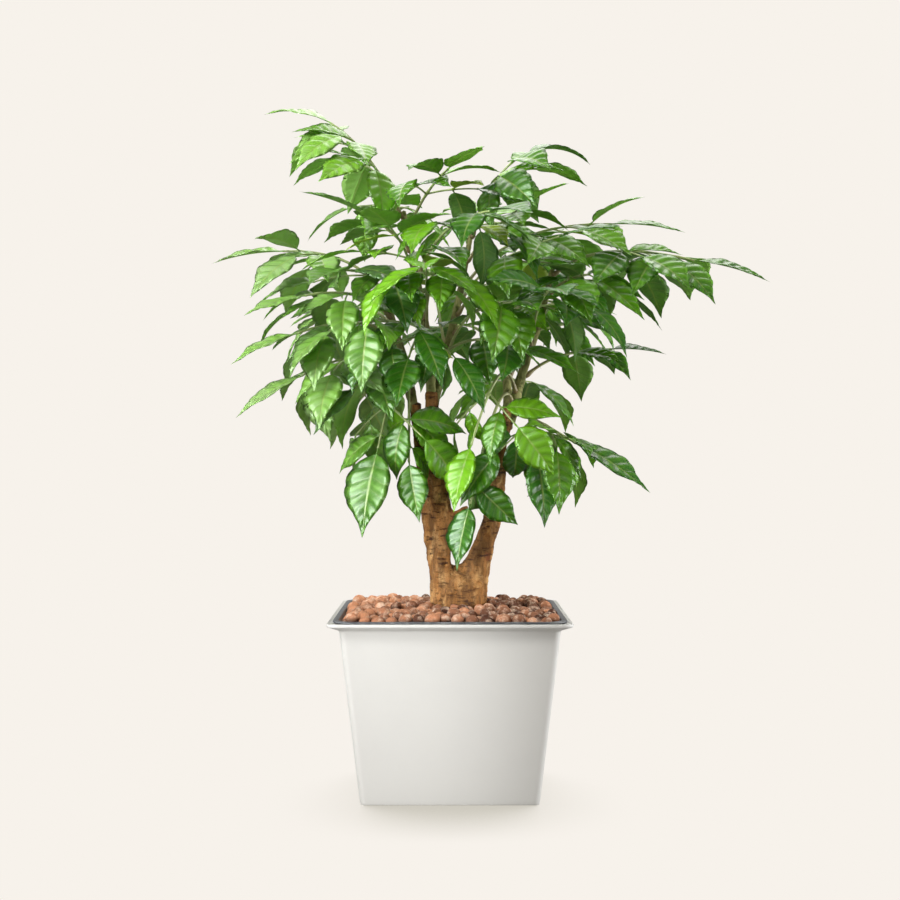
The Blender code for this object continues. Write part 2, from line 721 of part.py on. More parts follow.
def leaflet_choices():
    """Ways to move a leaflet out of another's way, from the least change to the most."""
    swings = (0, 0.2, -0.2, 0.4, -0.4, 0.65, -0.65)
    dips = (0, 0.25, -0.25, 0.5, -0.5, 0.8)
    rolls = (0, 0.35, -0.35, 0.7, -0.7)
    sizes = (1, 0.86, 0.72, 0.6)
    rows = list(itertools.product(swings, dips, rolls, sizes))
    rows.sort(key=lambda r: abs(r[0]) + abs(r[1]) + 0.8 * abs(r[2]) + 2.2 * (1 - r[3]))
    return rows


def settled(leaf, crowd, choices, parent):
    """The first way to place a leaflet that crosses nothing, or None. Its foot may touch the numbered
    parent."""
    for choice in choices:
        moved = varied(leaf, *choice)
        along, up = moved["along"], leaf["stalk_up"]
        if unit(up - along * (along @ up)) @ moved["up"] < LEAST_TWIST_COSINE:
            continue
        whole = test_blade(moved, TEST_STATIONS)
        behind = np.min((np.array(whole[0][6:]) - leaf["at"]) @ leaf["outward"])
        if behind < -MOST_BEHIND:
            continue
        if crowd.free(*whole, parent) and crowd.free(*test_blade(moved, TEST_STATIONS[1:])):
            crowd.add(*whole)
            return moved
    return None


def stalk_tube(points, ups, halves, wider=0.0):
    """Points and faces of a square stalk through these points."""
    along = np.gradient(points, axis=0)
    rings = []
    for point, direction, up, half in zip(points, along, ups, halves):
        side = unit(np.cross(direction, up))
        rings.append(square_ring(point, up, side, half + wider))
    return lofted(rings)


def square_ring(point, up, side, half):
    """Corners of a stalk's section, from the upper right one round by the upper left."""
    return [
        tuple(point + side * half * a + up * half * b)
        for a, b in ((1, 1), (-1, 1), (-1, -1), (1, -1))
    ]


def upper_sides(points, level):
    """The upper side at each point of a stalk that leans neither way from a level side line."""
    along = np.gradient(points, axis=0)
    return np.array([unit(np.cross(level, unit(d))) for d in along])


def bezier(a, b, c, d, t):
    t = np.asarray(t, float)[:, None]
    rest = 1 - t
    return rest**3 * a + 3 * rest**2 * t * b + 3 * rest * t**2 * c + t**3 * d


def along_curve(curve, lengths):
    """Points at these lengths along a finely divided curve."""
    walked = np.concatenate([[0], np.cumsum(np.linalg.norm(np.diff(curve, axis=0), axis=1))])
    return np.array([[np.interp(s, walked, curve[:, k]) for k in range(3)] for s in lengths])


def foot_on(skin, centre, out, axis):
    """A foot's middle point, just clear of a shoot's skin, which is felt for all over the foot."""
    across = np.cross(out, axis)
    offsets = itertools.product(
        np.linspace(-FOOT_REACH, FOOT_REACH, 5), np.linspace(-FOOT_REACH, FOOT_REACH, 17)
    )
    starts = [centre + a * axis + b * across for a, b in offsets]
    hits = [skin.ray_cast(start + out * 0.03, -out)[0] for start in starts]
    height = max((np.array(hit) - centre) @ out for hit in hits if hit is not None)
    return centre + out * (height + FIT)


def leaf_route(row, skins, lean):
    """The middle line of a leaf from its foot on the shoot to the end leaflet's tip. The arch is
    turned by lean about the straight line between the two."""
    line = smooth_line(SHOOTS[row.shoot], STEM_STEP / 4)
    place = row.share * (len(line) - 1)
    low = min(int(place), len(line) - 2)
    centre = line[low] + (line[low + 1] - line[low]) * (place - low)
    axis = unit(line[low + 1][:3] - line[low][:3])
    tip = np.array(row.tip)
    towards = tip - centre[:3]
    out = unit(towards - axis * (axis @ towards))
    foot = foot_on(skins[row.shoot], centre[:3], out, axis)
    reach = np.linalg.norm(tip - foot)
    chord = unit(tip - foot)
    rise = turned(np.array([0.0, 0.0, 1.0]), chord, lean)
    second = foot + reach * (0.10 * out + 0.10 * chord + 1.5 * row.arch * rise)
    third = foot + reach * (0.60 * chord + (0.9 + 0.5 * row.droop) * row.arch * rise)
    curve = bezier(foot, second, third, tip, np.linspace(0, 1, 80))
    curve[0] = foot
    return curve, out


def plan_stalk(row, skins, crowd):
    """Places a leaf's main stalk so that it crosses no wood and no other stalk."""
    for lean in (0, 0.15, -0.15, 0.3, -0.3, 0.45, -0.45, 0.6, -0.6, 0.8, -0.8, 1.0, -1.0):
        curve, out = leaf_route(row, skins, lean)
        steps = np.linalg.norm(np.diff(curve, axis=0), axis=1)
        bare = steps.sum() - row.length
        joints = [share * bare for share, _ in KINDS[row.kind]]
        first = joints[0]
        lengths = [0, min(FOOT_LENGTH, 0.2 * first), 0.38 * first, 0.70 * first]
        for s in joints:
            lengths += [s - JOINT, s + JOINT]
        lengths.append(bare)
        points = along_curve(curve, lengths)
        level = unit(np.cross(curve[-1] - curve[0], (0.0, 0.0, 1.0)))
        ups = upper_sides(points, level)
        ups[0] = unit(np.cross(level, out))
        shares = np.array(lengths) / bare
        halves = np.interp(shares, [0, 0.1, 1], [STALK_FOOT, STALK_FOOT, STALK_END])
        halves[0] = STALK_BASE
        fine = along_curve(curve, np.linspace(TEST_FROM_FOOT, bare, 12))
        test = stalk_tube(fine, upper_sides(fine, level), np.full(12, TEST_STALK))
        if crowd.free(*test):
            break
    else:
        raise ValueError(f"the stalk to {row.tip} has no clear way")
    stalk = {"points": points, "ups": ups, "halves": halves, "out": out, "number": crowd.add(*test)}
    end = curve[-1] - points[-1]
    stalk["heading"] = unit(along_curve(curve, [bare + 0.004])[0] - points[-1])
    stalk["end_chord"] = end
    stalk["joints"] = [(4 + 2 * k, forks) for k, (_, forks) in enumerate(KINDS[row.kind])]
    return stalk


def frame_at(stalk, ring):
    """Middle, direction, upper side and right side of a stalk at the joint that starts at a ring."""
    a, b = stalk["points"][ring], stalk["points"][ring + 1]
    along = unit(b - a)
    up = stalk["ups"][ring] + stalk["ups"][ring + 1]
    up = unit(up - along * (along @ up))
    return (a + b) / 2, along, up, np.cross(along, up)


def plan_fork(stalk, ring, hand, length, crowd, draw):
    """Places a side stalk at a joint. hand is 1 on the right and -1 on the left."""
    middle, along, up, right = frame_at(stalk, ring)
    root = middle + hand * right * stalk["halves"][ring]
    length = length * draw.uniform(0.9, 1.12)
    for swing, dip in itertools.product((0, 0.15, -0.15, 0.3, -0.3), (0.08, 0.3, -0.15, 0.5)):
        angle = FORK_ANGLE + swing
        heading = math.cos(angle) * along + math.sin(angle) * hand * right
        level = unit(np.cross(heading, up))
        heading = turned(heading, level, -dip)
        top = np.cross(level, heading)
        leaf = {"at": root, "along": heading, "up": top, "length": length, "bend": FORK_SAG}
        joint = FORK_JOINT * length
        shares = [0, (joint - JOINT) / length, (joint + JOINT) / length, 1]
        frames = [midrib(leaf, t) for t in shares]
        points = np.array([f[0] for f in frames])
        ups = np.array([f[2] for f in frames])
        fine = np.array([midrib(leaf, t)[0] for t in np.linspace(0.02, 1, 6)])
        test = stalk_tube(fine, upper_sides(fine, level), np.full(6, TEST_STALK))
        if crowd.free(*test, stalk["number"]):
            number = crowd.add(*test)
            break
    else:
        return None
    return {
        "points": points,
        "ups": ups,
        "halves": np.full(4, FORK_STALK),
        "heading": frames[-1][1],
        "joints": [(1, False)],
        "number": number,
    }


def plan_leaf(row, skins, crowd, draw):
    """Places a leaf's stalks. Its leaflets come after every leaf's stalks are in place."""
    stalk = plan_stalk(row, skins, crowd)
    stalk["side"] = {}
    for number, (ring, forks) in enumerate(stalk["joints"]):
        for hand in (1, -1):
            if forks:
                longer = FORK_LENGTH * (1.12 if number == 0 else 0.92)
                branch = plan_fork(stalk, ring, hand, longer, crowd, draw)
                stalk["side"][ring, hand] = branch
    return stalk


def end_leaflet(stalk, length, droop, draw, chord=None):
    """The leaflet at a stalk's end. With a chord it bends so that its tip comes to the chord's end."""
    along, up = stalk["heading"], stalk["ups"][-1]
    leaf = leaflet(stalk["points"][-1], along, up, along, length, droop, draw)
    if chord is None:
        return leaf
    towards = unit(chord)
    lit = np.array((0.0, 0.0, 1 - LIGHT_SHARE)) + np.array(LIGHT) * LIGHT_SHARE
    side = unit(np.cross(towards, lit))
    bend = float(np.clip(2 * math.acos(np.clip(along @ towards, -1, 1)), 0.35, 1.3))
    start = turned(towards, side, bend / 2)
    return dict(leaf, along=start, up=np.cross(side, start), bend=bend)


def plan_leaflets(row, stalk, crowd, draw, choices):
    """Places a leaf's leaflets, the end one first, each where it crosses nothing."""
    length, droop = min(row.length, LARGEST_SIDE), row.droop
    end = end_leaflet(stalk, row.length, droop, draw, stalk["end_chord"])
    stalk["end"] = settled(end, crowd, choices, stalk["number"])
    for ring, forks in stalk["joints"]:
        for hand in (1, -1):
            if not forks:
                side = side_leaflet(stalk, ring, hand, length * SIDE_LENGTH, droop, draw)
                stalk["side"][ring, hand] = settled(side, crowd, choices, stalk["number"])
                continue
            branch = stalk["side"][ring, hand]
            if branch is None:
                continue
            size = length * FORK_LEAF_LENGTH
            parent = branch["number"]
            end = end_leaflet(branch, size, droop, draw)
            branch["end"] = settled(end, crowd, choices, parent)
            branch["side"] = {}
            for turn in (1, -1):
                inner = turn != hand
                share = INNER_LENGTH if inner else SIDE_LENGTH
                part = side_leaflet(branch, 1, turn, size * share, droop, draw)
                branch["side"][1, turn] = settled(part, crowd, choices, parent)


def side_leaflet(stalk, ring, hand, length, droop, draw):
    middle, along, up, right = frame_at(stalk, ring)
    root = middle + hand * right * stalk["halves"][ring]
    heading = math.cos(LEAFLET_ANGLE) * along + math.sin(LEAFLET_ANGLE) * hand * right
    return leaflet(root, heading, up, hand * right, length * draw.uniform(0.9, 1.1), droop, draw)


def plan_leaves():
    """The plans of all leaves, in the order of the list."""
    draw = random.Random(GROWTH_SEED)
    crowd = Crowd()
    skins = {}
    for name, points, faces in wood_tubes():
        skins[name] = crowd.trees[crowd.add(points, faces)]
    stalks = [plan_leaf(row, skins, crowd, draw) for row in LEAVES]
    choices = leaflet_choices()
    for row, stalk in zip(LEAVES, stalks):
        plan_leaflets(row, stalk, crowd, draw, choices)
    return stalks


# Solid leaves: each stalk is a square tube, and what branches off grows out of one of its side faces


def grow_blade(points, faces, root, leaf):
    """Adds a leaflet on the four points of its root."""
    stations = LARGE_STATIONS if leaf["length"] > SMALL_BLADE else SMALL_STATIONS
    rings = []
    for t in stations:
        start = len(points)
        points += blade_ring(leaf, t, BLADE_THICKNESS)
        rings.append(range(start, start + 6))
    r, a = root, rings[0]
    faces += [(r[0], a[0], a[1]), (r[0], a[1], r[1]), (r[1], a[1], a[2])]
    faces += [(r[3], a[4], a[5]), (r[3], r[2], a[4]), (r[2], a[3], a[4])]
    faces += [(r[0], r[3], a[5]), (r[0], a[5], a[0]), (r[1], a[2], a[3]), (r[1], a[3], r[2])]
    for first, second in zip(rings, rings[1:]):
        faces += ring_faces(first, second)
    tip = len(points)
    points.append(midrib(leaf, 1.0)[0])
    last = rings[-1]
    faces += [(last[k], last[(k + 1) % 6], tip) for k in range(6)]


def grow_stalk(points, faces, stalk, root=None):
    """Adds a stalk, on the four points of its root if it has one, and all that grows on it."""
    along = np.gradient(stalk["points"], axis=0)
    rings = [root] if root else []
    for k in range(len(rings), len(stalk["points"])):
        direction = stalk["out"] if k == 0 else along[k]
        up = stalk["ups"][k]
        side = unit(np.cross(direction, up))
        start = len(points)
        points += square_ring(stalk["points"][k], up, side, stalk["halves"][k])
        rings.append(list(range(start, start + 4)))
    if not root:
        faces.append(tuple(rings[0]))
    for k, (a, b) in enumerate(zip(rings, rings[1:])):
        right, left = stalk["side"].get((k, 1)), stalk["side"].get((k, -1))
        faces.append((a[0], a[1], b[1], b[0]))
        faces.append((a[2], a[3], b[3], b[2]))
        grow_side(points, faces, [a[0], b[0], b[3], a[3]], right)
        grow_side(points, faces, [b[1], a[1], a[2], b[2]], left)
    if stalk["end"]:
        grow_blade(points, faces, rings[-1], stalk["end"])
    else:
        faces.append(tuple(rings[-1]))


def grow_side(points, faces, root, grown):
    """Adds what grows on a stalk's side face, or the bare face."""
    if grown is None:
        faces.append(tuple(root))
    elif "joints" in grown:
        grow_stalk(points, faces, grown, root)
    else:
        grow_blade(points, faces, root, grown)


def make_leaves():
    for number, stalk in enumerate(plan_leaves(), 1):
        points, faces = [], []
        grow_stalk(points, faces, stalk)
        add_object(f"leaf_{number:02d}", points, faces, "leaf")


def main():
    clear_scene()
    make_pot()
    make_liner()
    make_soil()
    make_pebbles()
    make_trunk()
    make_leaves()


main()
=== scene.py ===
"""Looks of a potted china doll plant: veined leaflets on their stalks, forked wood, clay pebbles,
the grow pot's lip and the white pot.

The layout of the wood and of the leaves is worked out here from the same measures as the solids,
so each finer piece lies on the solid that it stands for. Metres, +Z up, and -Y is the front.
"""

import collections
import itertools
import math
import random

import bpy
import numpy as np
from bpy.props import FloatProperty, FloatVectorProperty, IntProperty, PointerProperty
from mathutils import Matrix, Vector
from mathutils.bvhtree import BVHTree


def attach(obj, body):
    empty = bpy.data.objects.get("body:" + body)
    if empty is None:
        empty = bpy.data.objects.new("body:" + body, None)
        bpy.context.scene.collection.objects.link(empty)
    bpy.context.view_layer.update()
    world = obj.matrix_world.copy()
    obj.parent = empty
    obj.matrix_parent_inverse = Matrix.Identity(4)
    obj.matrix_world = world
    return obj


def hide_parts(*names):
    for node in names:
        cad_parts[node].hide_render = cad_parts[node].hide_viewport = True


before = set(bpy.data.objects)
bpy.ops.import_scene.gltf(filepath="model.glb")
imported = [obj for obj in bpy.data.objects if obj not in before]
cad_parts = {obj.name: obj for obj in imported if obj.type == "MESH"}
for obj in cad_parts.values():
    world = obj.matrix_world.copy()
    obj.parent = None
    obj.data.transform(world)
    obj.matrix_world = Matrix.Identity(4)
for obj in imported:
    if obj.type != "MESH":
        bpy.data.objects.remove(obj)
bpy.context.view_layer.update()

bl_info = {
    "name": "Potted China Doll Plant",
    "version": (1, 0, 0),
    "blender": (4, 5, 0),
    "location": "View3D > Sidebar > Plant",
    "description": "Builds a potted china doll plant, piece by piece, on its solid parts",
    "category": "Object",
}

BODY = "root"

# Clearance left between pieces that touch
FIT = 0.0003

# White pot: a square taper with a flared rim
POT_HEIGHT = 0.160
POT_BASE = 0.157
POT_TOP = 0.191
POT_WALL = 0.0035
POT_FLOOR = 0.005
POT_CORNER = 0.006
FOOT_SOFTENING = 0.001
RIM_WIDTH = 0.212
RIM_DEPTH = 0.0075
RIM_EDGE = 0.0018
RIM_CORNER = 0.009
MOUTH_WIDTH = 0.1975
MOUTH_DEPTH = 0.010

# Its finer edges: the rim's roll, how high its bead stands and how far inside the rim's width the
# bead ends and the flat rim begins, the mouth's round edge, the hollow under the rim, whose middle
# lies out from the wall's top and down from the rim's foot, and where the corners begin to flare
RIM_ROLL = 0.0008
RIM_BEAD = 0.0005
BEAD_INSIDE = (0.0052, 0.0064)
MOUTH_EDGE = 0.0005
HOLLOW_RADIUS = 0.0022
HOLLOW_OUT = 0.0046
HOLLOW_DOWN = 0.0004
FLARE_START = 0.003

# How far inside its edge a vessel's flat underside has its first ring, and how near to its outer
# skin a ring counts as inside
FLAT_MARGIN = 0.02
SKIN_MARGIN = 0.001

# Grow pot: a thin shell that hangs by its lip on the white pot's rim
LINER_PLAY = 0.001
LINER_WALL = 0.0013
LINER_CORNER = 0.018
LIP_WIDTH = 0.2035
LIP_HEIGHT = 0.0016
LIP_EDGE = 0.0008
LIP_INSIDE = 0.0024
LINER_BEVEL = 0.0012

# Pebbles: the solid layer's floor and top, and how far it is heaped in the middle
PEBBLE_FLOOR = 0.1495
PEBBLE_TOP = 0.1655
MOUND = 0.0035

# Single pebbles: least and largest radius as a share of their width, how small those of the lower
# layer are, how far each layer's tops lie from the solid's top, how far a top strays, how much of
# the solid's mound they follow, the mean and spread of their random shade, and a painted shade
# that darkens them with x, towards the side away from the lamps
PEBBLE_RADII = np.array([0.42, 0.56])
LOWER_SIZE = 0.75
LOWER_TOP = -0.0062
UPPER_TOP = 0.0012
TOP_STRAY = 0.0026
MOUND_SHARE = 0.9
PEBBLE_SHADE = (0.56, 0.34)
PAINTED_SHADE_BY_X = -4.8

# Their rows: distance as a share of the pitch, and how far a pebble strays as a share of it
ROW_SHARE = 0.87
ROW_STRAY = 0.4

# Pebbles pushed apart: rounds, share of an overlap that a round undoes, and at which share of its
# radius one meets its neighbours, the bole and the wall
PUSH_ROUNDS = 60
PUSH_SHARE = 0.4
PUSH_REACH = 0.96
BOLE_REACH = 0.75
WALL_REACH = 1.1

# Their form: least and most along each axis, number, frequency and height of the bumps
OVALS = ((0.90, 0.86, 0.80), (1.10, 1.04, 0.98))
LUMPS = 4
LUMP_WAVES = 2.2
LUMP_HEIGHT = 0.026

# Bole and stems: x, y, z and radius of the middle line's points, from the root end up
BOLE_FLATNESS = 0.80
HOLE_SIDES = 14
STEM_SIDES = 8
SHOOT_SIDES = 5
STEM_STEP = 0.022
STEMS = {
    "bole": [
        (0.0060, 0.0, 0.085, 0.0130),
        (0.0075, 0.0, 0.115, 0.0215),
        (0.0080, 0.0, 0.145, 0.0258),
        (0.0080, 0.0, 0.168, 0.0264),
        (0.0075, 0.0, 0.184, 0.0252),
        (0.0068, 0.0, 0.195, 0.0195),
        (0.0066, 0.0, 0.199, 0.0080),
    ],
    "left_stem": [
        (-0.0045, -0.004, 0.168, 0.0110),
        (-0.0070, -0.005, 0.190, 0.0100),
        (-0.0080, -0.006, 0.220, 0.0082),
        (-0.0078, -0.006, 0.250, 0.0088),
        (-0.0110, -0.006, 0.282, 0.0083),
        (-0.0152, -0.006, 0.318, 0.0074),
        (-0.0170, -0.006, 0.362, 0.0062),
    ],
    "side_stem": [
        (-0.0095, 0.003, 0.174, 0.0076),
        (-0.0130, 0.003, 0.200, 0.0068),
        (-0.0182, 0.002, 0.232, 0.0060),
        (-0.0225, 0.002, 0.260, 0.0056),
        (-0.0285, 0.004, 0.315, 0.0052),
        (-0.0315, 0.006, 0.352, 0.0048),
    ],
    "right_stem": [
        (0.0170, 0.000, 0.150, 0.0165),
        (0.0200, 0.000, 0.188, 0.0150),
        (0.0305, 0.000, 0.219, 0.0100),
        (0.0395, 0.001, 0.250, 0.0083),
        (0.0425, 0.001, 0.288, 0.0098),
        (0.0460, 0.001, 0.318, 0.0076),
        (0.0560, 0.000, 0.346, 0.0062),
    ],
    "cut_twig": [
        (-0.0080, -0.005, 0.243, 0.0030),
        (0.0040, -0.008, 0.250, 0.0026),
        (0.0160, -0.010, 0.257, 0.0023),
    ],
}

# Knots where twigs were: how far their rim stands out, how deep they are, and x, y, z and size
KNOT_RISE = 0.0016
KNOT_DEPTH = 0.0012
KNOTS = [
    (-0.0080, -0.013, 0.214, 0.0042),
    (-0.0050, -0.014, 0.205, 0.0034),
    (0.0330, -0.009, 0.236, 0.0046),
    (0.0010, -0.017, 0.181, 0.0040),
    (0.0240, -0.014, 0.187, 0.0050),
    (-0.0110, -0.012, 0.262, 0.0036),
    (0.0425, -0.008, 0.282, 0.0040),
]

# Young shoots, which carry the leaves: x, y, z and radius of the middle line's points
SHOOTS = {
    "left": [
        (-0.0318, 0.006, 0.340, 0.0042),
        (-0.0400, 0.009, 0.385, 0.0036),
        (-0.0520, 0.012, 0.425, 0.0030),
        (-0.0600, 0.014, 0.460, 0.0022),
    ],
    "crown": [
        (-0.0168, -0.006, 0.350, 0.0048),
        (-0.0200, -0.004, 0.405, 0.0040),
        (-0.0300, 0.001, 0.465, 0.0032),
        (-0.0430, 0.003, 0.530, 0.0022),
    ],
    "middle": [
        (-0.0165, -0.004, 0.345, 0.0045),
        (-0.0050, 0.012, 0.395, 0.0039),
        (0.0080, 0.022, 0.450, 0.0032),
        (0.0200, 0.027, 0.515, 0.0022),
    ],
    "right": [
        (0.0550, 0.000, 0.335, 0.0052),
        (0.0680, -0.004, 0.385, 0.0042),
        (0.0830, -0.006, 0.430, 0.0032),
        (0.0940, -0.005, 0.475, 0.0022),
    ],
    "rear": [
        (0.0530, 0.002, 0.330, 0.0050),
        (0.0540, 0.030, 0.370, 0.0040),
        (0.0480, 0.052, 0.415, 0.0032),
        (0.0440, 0.062, 0.460, 0.0022),
    ],
}

# Bark's relief: size, stretch along each axis, number of waves and share of the depth, for the long
# ridges, the knobs and the short cross folds
BARK_RIPPLES = [
    (0.0062, (1, 1, 5), 10, 0.60),
    (0.0150, (1, 1, 1), 10, 0.70),
    (0.0046, (3, 3, 0.7), 14, 0.42),
]

# Rings where old leaves stood: their distance and how much they widen a stem and a shoot, and how
# soft a ring's edges are
STEM_RINGS = (0.021, 0.05)
SHOOT_RINGS = (0.016, 0.10)
RING_SOFTNESS = 0.012

# Leaves: the shoot, how far up it the leaf stands, where the end leaflet's tip is, the leaf's kind,
# the end leaflet's length, how high the stalk arches as a share of the leaf's reach, and how far
# the leaflets hang, from 0 to 1
Leaf = collections.namedtuple("Leaf", "shoot share tip kind length arch droop")
LEAVES = [
    Leaf("crown", 0.97, (-0.171, -0.012, 0.616), "double", 0.068, 0.30, 0.55),
    Leaf("crown", 0.80, (-0.136, -0.035, 0.542), "plain", 0.074, 0.14, 0.1),
    Leaf("middle", 0.97, (0.131, 0.000, 0.572), "forked", 0.068, 0.42, 0.45),
    Leaf("middle", 0.84, (0.106, -0.060, 0.545), "plain", 0.060, 0.12, 0.1),
    Leaf("crown", 0.90, (0.030, -0.115, 0.566), "forked", 0.064, 0.14, 0.2),
    Leaf("middle", 0.91, (0.045, 0.150, 0.562), "forked", 0.064, 0.12, 0.2),
    Leaf("crown", 0.93, (-0.090, 0.120, 0.562), "forked", 0.064, 0.12, 0.2),
    Leaf("middle", 0.70, (0.222, 0.020, 0.513), "double", 0.074, 0.20, -0.1),
    Leaf("right", 0.97, (0.292, -0.020, 0.462), "double", 0.072, 0.15, -0.2),
    Leaf("right", 0.84, (0.178, -0.078, 0.453), "forked", 0.070, 0.15, 0.3),
    Leaf("middle", 0.45, (0.147, -0.055, 0.410), "forked", 0.064, 0.20, 0.3),
    Leaf("right", 0.30, (0.204, 0.020, 0.399), "plain", 0.056, 0.14, 0.0),
    Leaf("crown", 0.20, (0.115, -0.062, 0.376), "plain", 0.062, 0.20, 0.1),
    Leaf("rear", 0.14, (0.183, -0.018, 0.270), "forked", 0.084, 0.02, 0.1),
    Leaf("right", 0.05, (0.088, -0.052, 0.240), "forked", 0.068, 0.24, 0.8),
    Leaf("left", 0.12, (-0.078, -0.056, 0.231), "forked", 0.084, 0.26, 0.9),
    Leaf("left", 0.31, (-0.194, -0.030, 0.338), "forked", 0.072, 0.19, 0.1),
    Leaf("left", 0.22, (-0.119, -0.078, 0.322), "plain", 0.066, 0.20, 0.5),
    Leaf("left", 0.58, (-0.198, -0.034, 0.386), "forked", 0.068, 0.17, 0.1),
    Leaf("left", 0.76, (-0.180, -0.078, 0.426), "forked", 0.066, 0.16, 0.2),
    Leaf("left", 0.96, (-0.224, 0.020, 0.484), "forked", 0.070, 0.20, 0.0),
    Leaf("left", 0.88, (-0.120, -0.120, 0.448), "forked", 0.068, 0.16, 0.4),
    Leaf("crown", 0.36, (-0.020, -0.190, 0.452), "double", 0.066, 0.18, 0.5),
    Leaf("right", 0.48, (0.095, -0.170, 0.434), "forked", 0.068, 0.18, 0.5),
    Leaf("left", 0.43, (-0.085, -0.160, 0.392), "forked", 0.066, 0.18, 0.5),
    Leaf("crown", 0.66, (0.068, -0.160, 0.502), "forked", 0.066, 0.16, 0.3),
    Leaf("crown", 0.52, (-0.070, -0.150, 0.508), "forked", 0.066, 0.16, 0.3),
    Leaf("right", 0.19, (0.003, -0.064, 0.254), "forked", 0.064, 0.30, 0.6),
    Leaf("crown", 0.26, (-0.045, -0.120, 0.345), "forked", 0.064, 0.22, 0.7),
    Leaf("right", 0.11, (0.006, -0.048, 0.201), "plain", 0.062, 0.22, 0.9),
    Leaf("left", 0.17, (-0.038, -0.050, 0.243), "plain", 0.058, 0.26, 0.9),
    Leaf("crown", 0.44, (-0.002, -0.112, 0.472), "plain", 0.062, 0.20, 0.4),
    Leaf("middle", 0.26, (0.058, -0.100, 0.432), "plain", 0.062, 0.22, 0.4),
    Leaf("middle", 0.55, (0.150, -0.090, 0.502), "forked", 0.066, 0.16, 0.3),
    Leaf("rear", 0.97, (0.050, 0.230, 0.450), "forked", 0.066, 0.16, 0.3),
    Leaf("rear", 0.80, (0.165, 0.165, 0.440), "forked", 0.066, 0.16, 0.3),
    Leaf("rear", 0.62, (-0.050, 0.205, 0.420), "forked", 0.066, 0.16, 0.3),
    Leaf("rear", 0.42, (0.125, 0.160, 0.480), "forked", 0.066, 0.18, 0.3),
    Leaf("rear", 0.22, (0.030, 0.185, 0.365), "forked", 0.066, 0.20, 0.4),
    Leaf("left", 0.68, (-0.155, 0.140, 0.425), "forked", 0.066, 0.16, 0.3),
    Leaf("left", 0.18, (-0.120, 0.110, 0.310), "plain", 0.066, 0.22, 0.5),
    Leaf("middle", 0.36, (-0.030, 0.185, 0.505), "forked", 0.066, 0.18, 0.3),
    Leaf("middle", 0.62, (0.120, 0.135, 0.515), "plain", 0.066, 0.16, 0.2),
]

# Where each kind of leaf branches, as shares of its stalk, and whether that pair forks again
KINDS = {
    "plain": [(0.60, False), (0.86, False)],
    "forked": [(0.52, True), (0.86, False)],
    "double": [(0.40, True), (0.66, True), (0.89, False)],
}

# Leaf stalks, as half widths of their square section
STALK_BASE = 0.0021
STALK_FOOT = 0.0014
FOOT_REACH = 0.0029
STALK_END = 0.0009
FORK_STALK = 0.0008
JOINT = 0.0012
FOOT_LENGTH = 0.007
FORK_LENGTH = 0.040
FORK_JOINT = 0.50
FORK_ANGLE = math.radians(54)
FORK_SAG = 0.35
FIRST_FORK = 1.12
LATER_FORK = 0.92

# Ways to move a stalk out of another's way: the lean of its arch, and a side stalk's swing and dip
STALK_LEANS = (0, 0.15, -0.15, 0.3, -0.3, 0.45, -0.45, 0.6, -0.6, 0.8, -0.8, 1.0, -1.0)
FORK_SWINGS = (0, 0.15, -0.15, 0.3, -0.3)
FORK_DIPS = (0.08, 0.3, -0.15, 0.5)

# Leaflets
SIDE_LENGTH = 0.92
FORK_LEAF_LENGTH = 0.94
INNER_LENGTH = 0.84
LARGEST_SIDE = 0.070
WIDTH_TO_LENGTH = 0.48
LEAFLET_ANGLE = math.radians(56)
LEAFLET_DIP = (0.12, 0.45)
LEAFLET_BEND = (0.60, 0.95)
LEAFLET_FOLD = 0.20
END_BEND = (0.35, 1.3)
BARE_SHARE = 0.07

# How leaflets vary: least and most of what they are multiplied by, and how far they swing and dip
WIDTH_VARIES = (0.92, 1.10)
BEND_VARIES = (0.7, 1.35)
FOLD_VARIES = (0.5, 1.6)
SIDE_VARIES = (0.9, 1.1)
FORK_VARIES = (0.9, 1.12)
SWING_STRAY = 0.12
DIP_STRAY = 0.1

# Where the light comes from: leaflets turn their upper sides partly towards it
LIGHT = (-0.20, -0.50, 0.84)
LIGHT_SHARE = 0.5

# Clearance tests: where along a blade they are made, and how much thicker and wider it is taken
TEST_STATIONS = (0.02, 0.09, 0.24, 0.40, 0.58, 0.78, 1.0)
TEST_THICKNESS = 0.0030
TEST_WIDER = 0.0012
TEST_STALK = 0.0016
TEST_FROM_FOOT = 0.004
MOST_BEHIND = 0.001
LEAST_TWIST_COSINE = math.cos(math.radians(55))

GROWTH_SEED = 11
PEBBLE_SEED = 5
BARK_SEED = 3
BLADE_SEED = 21

# Main stalk in its finer form: radii at distances from its foot, at a tenth of its length and at
# its end, where it swells, how deep its foot is set in the shoot, how high and wide its joints
# swell, how far its point reaches, and how woody it is at distances from its foot
STALK_SHAPE = [(0, 0.0026), (0.003, 0.0024), (0.008, 0.0017)]
STALK_RADIUS = 0.00150
STALK_TIP = 0.0009
TIP_SWELLING = 0.0003
FOOT_DEPTH = 0.0012
SWELLING = (0.00035, 0.0030)
STALK_POINT = 0.0006
STALK_AGES = [(0, 1.0), (0.02, 0.55), (0.06, 0.0)]

# Side stalk in its finer form: radii at shares of its length, its joint's swelling and its point
FORK_SHAPE = [(-0.03, 0.0012), (0.05, 0.00095), (1, 0.0007)]
FORK_SWELLING = (0.00030, 0.07)
FORK_POINT = 0.0005

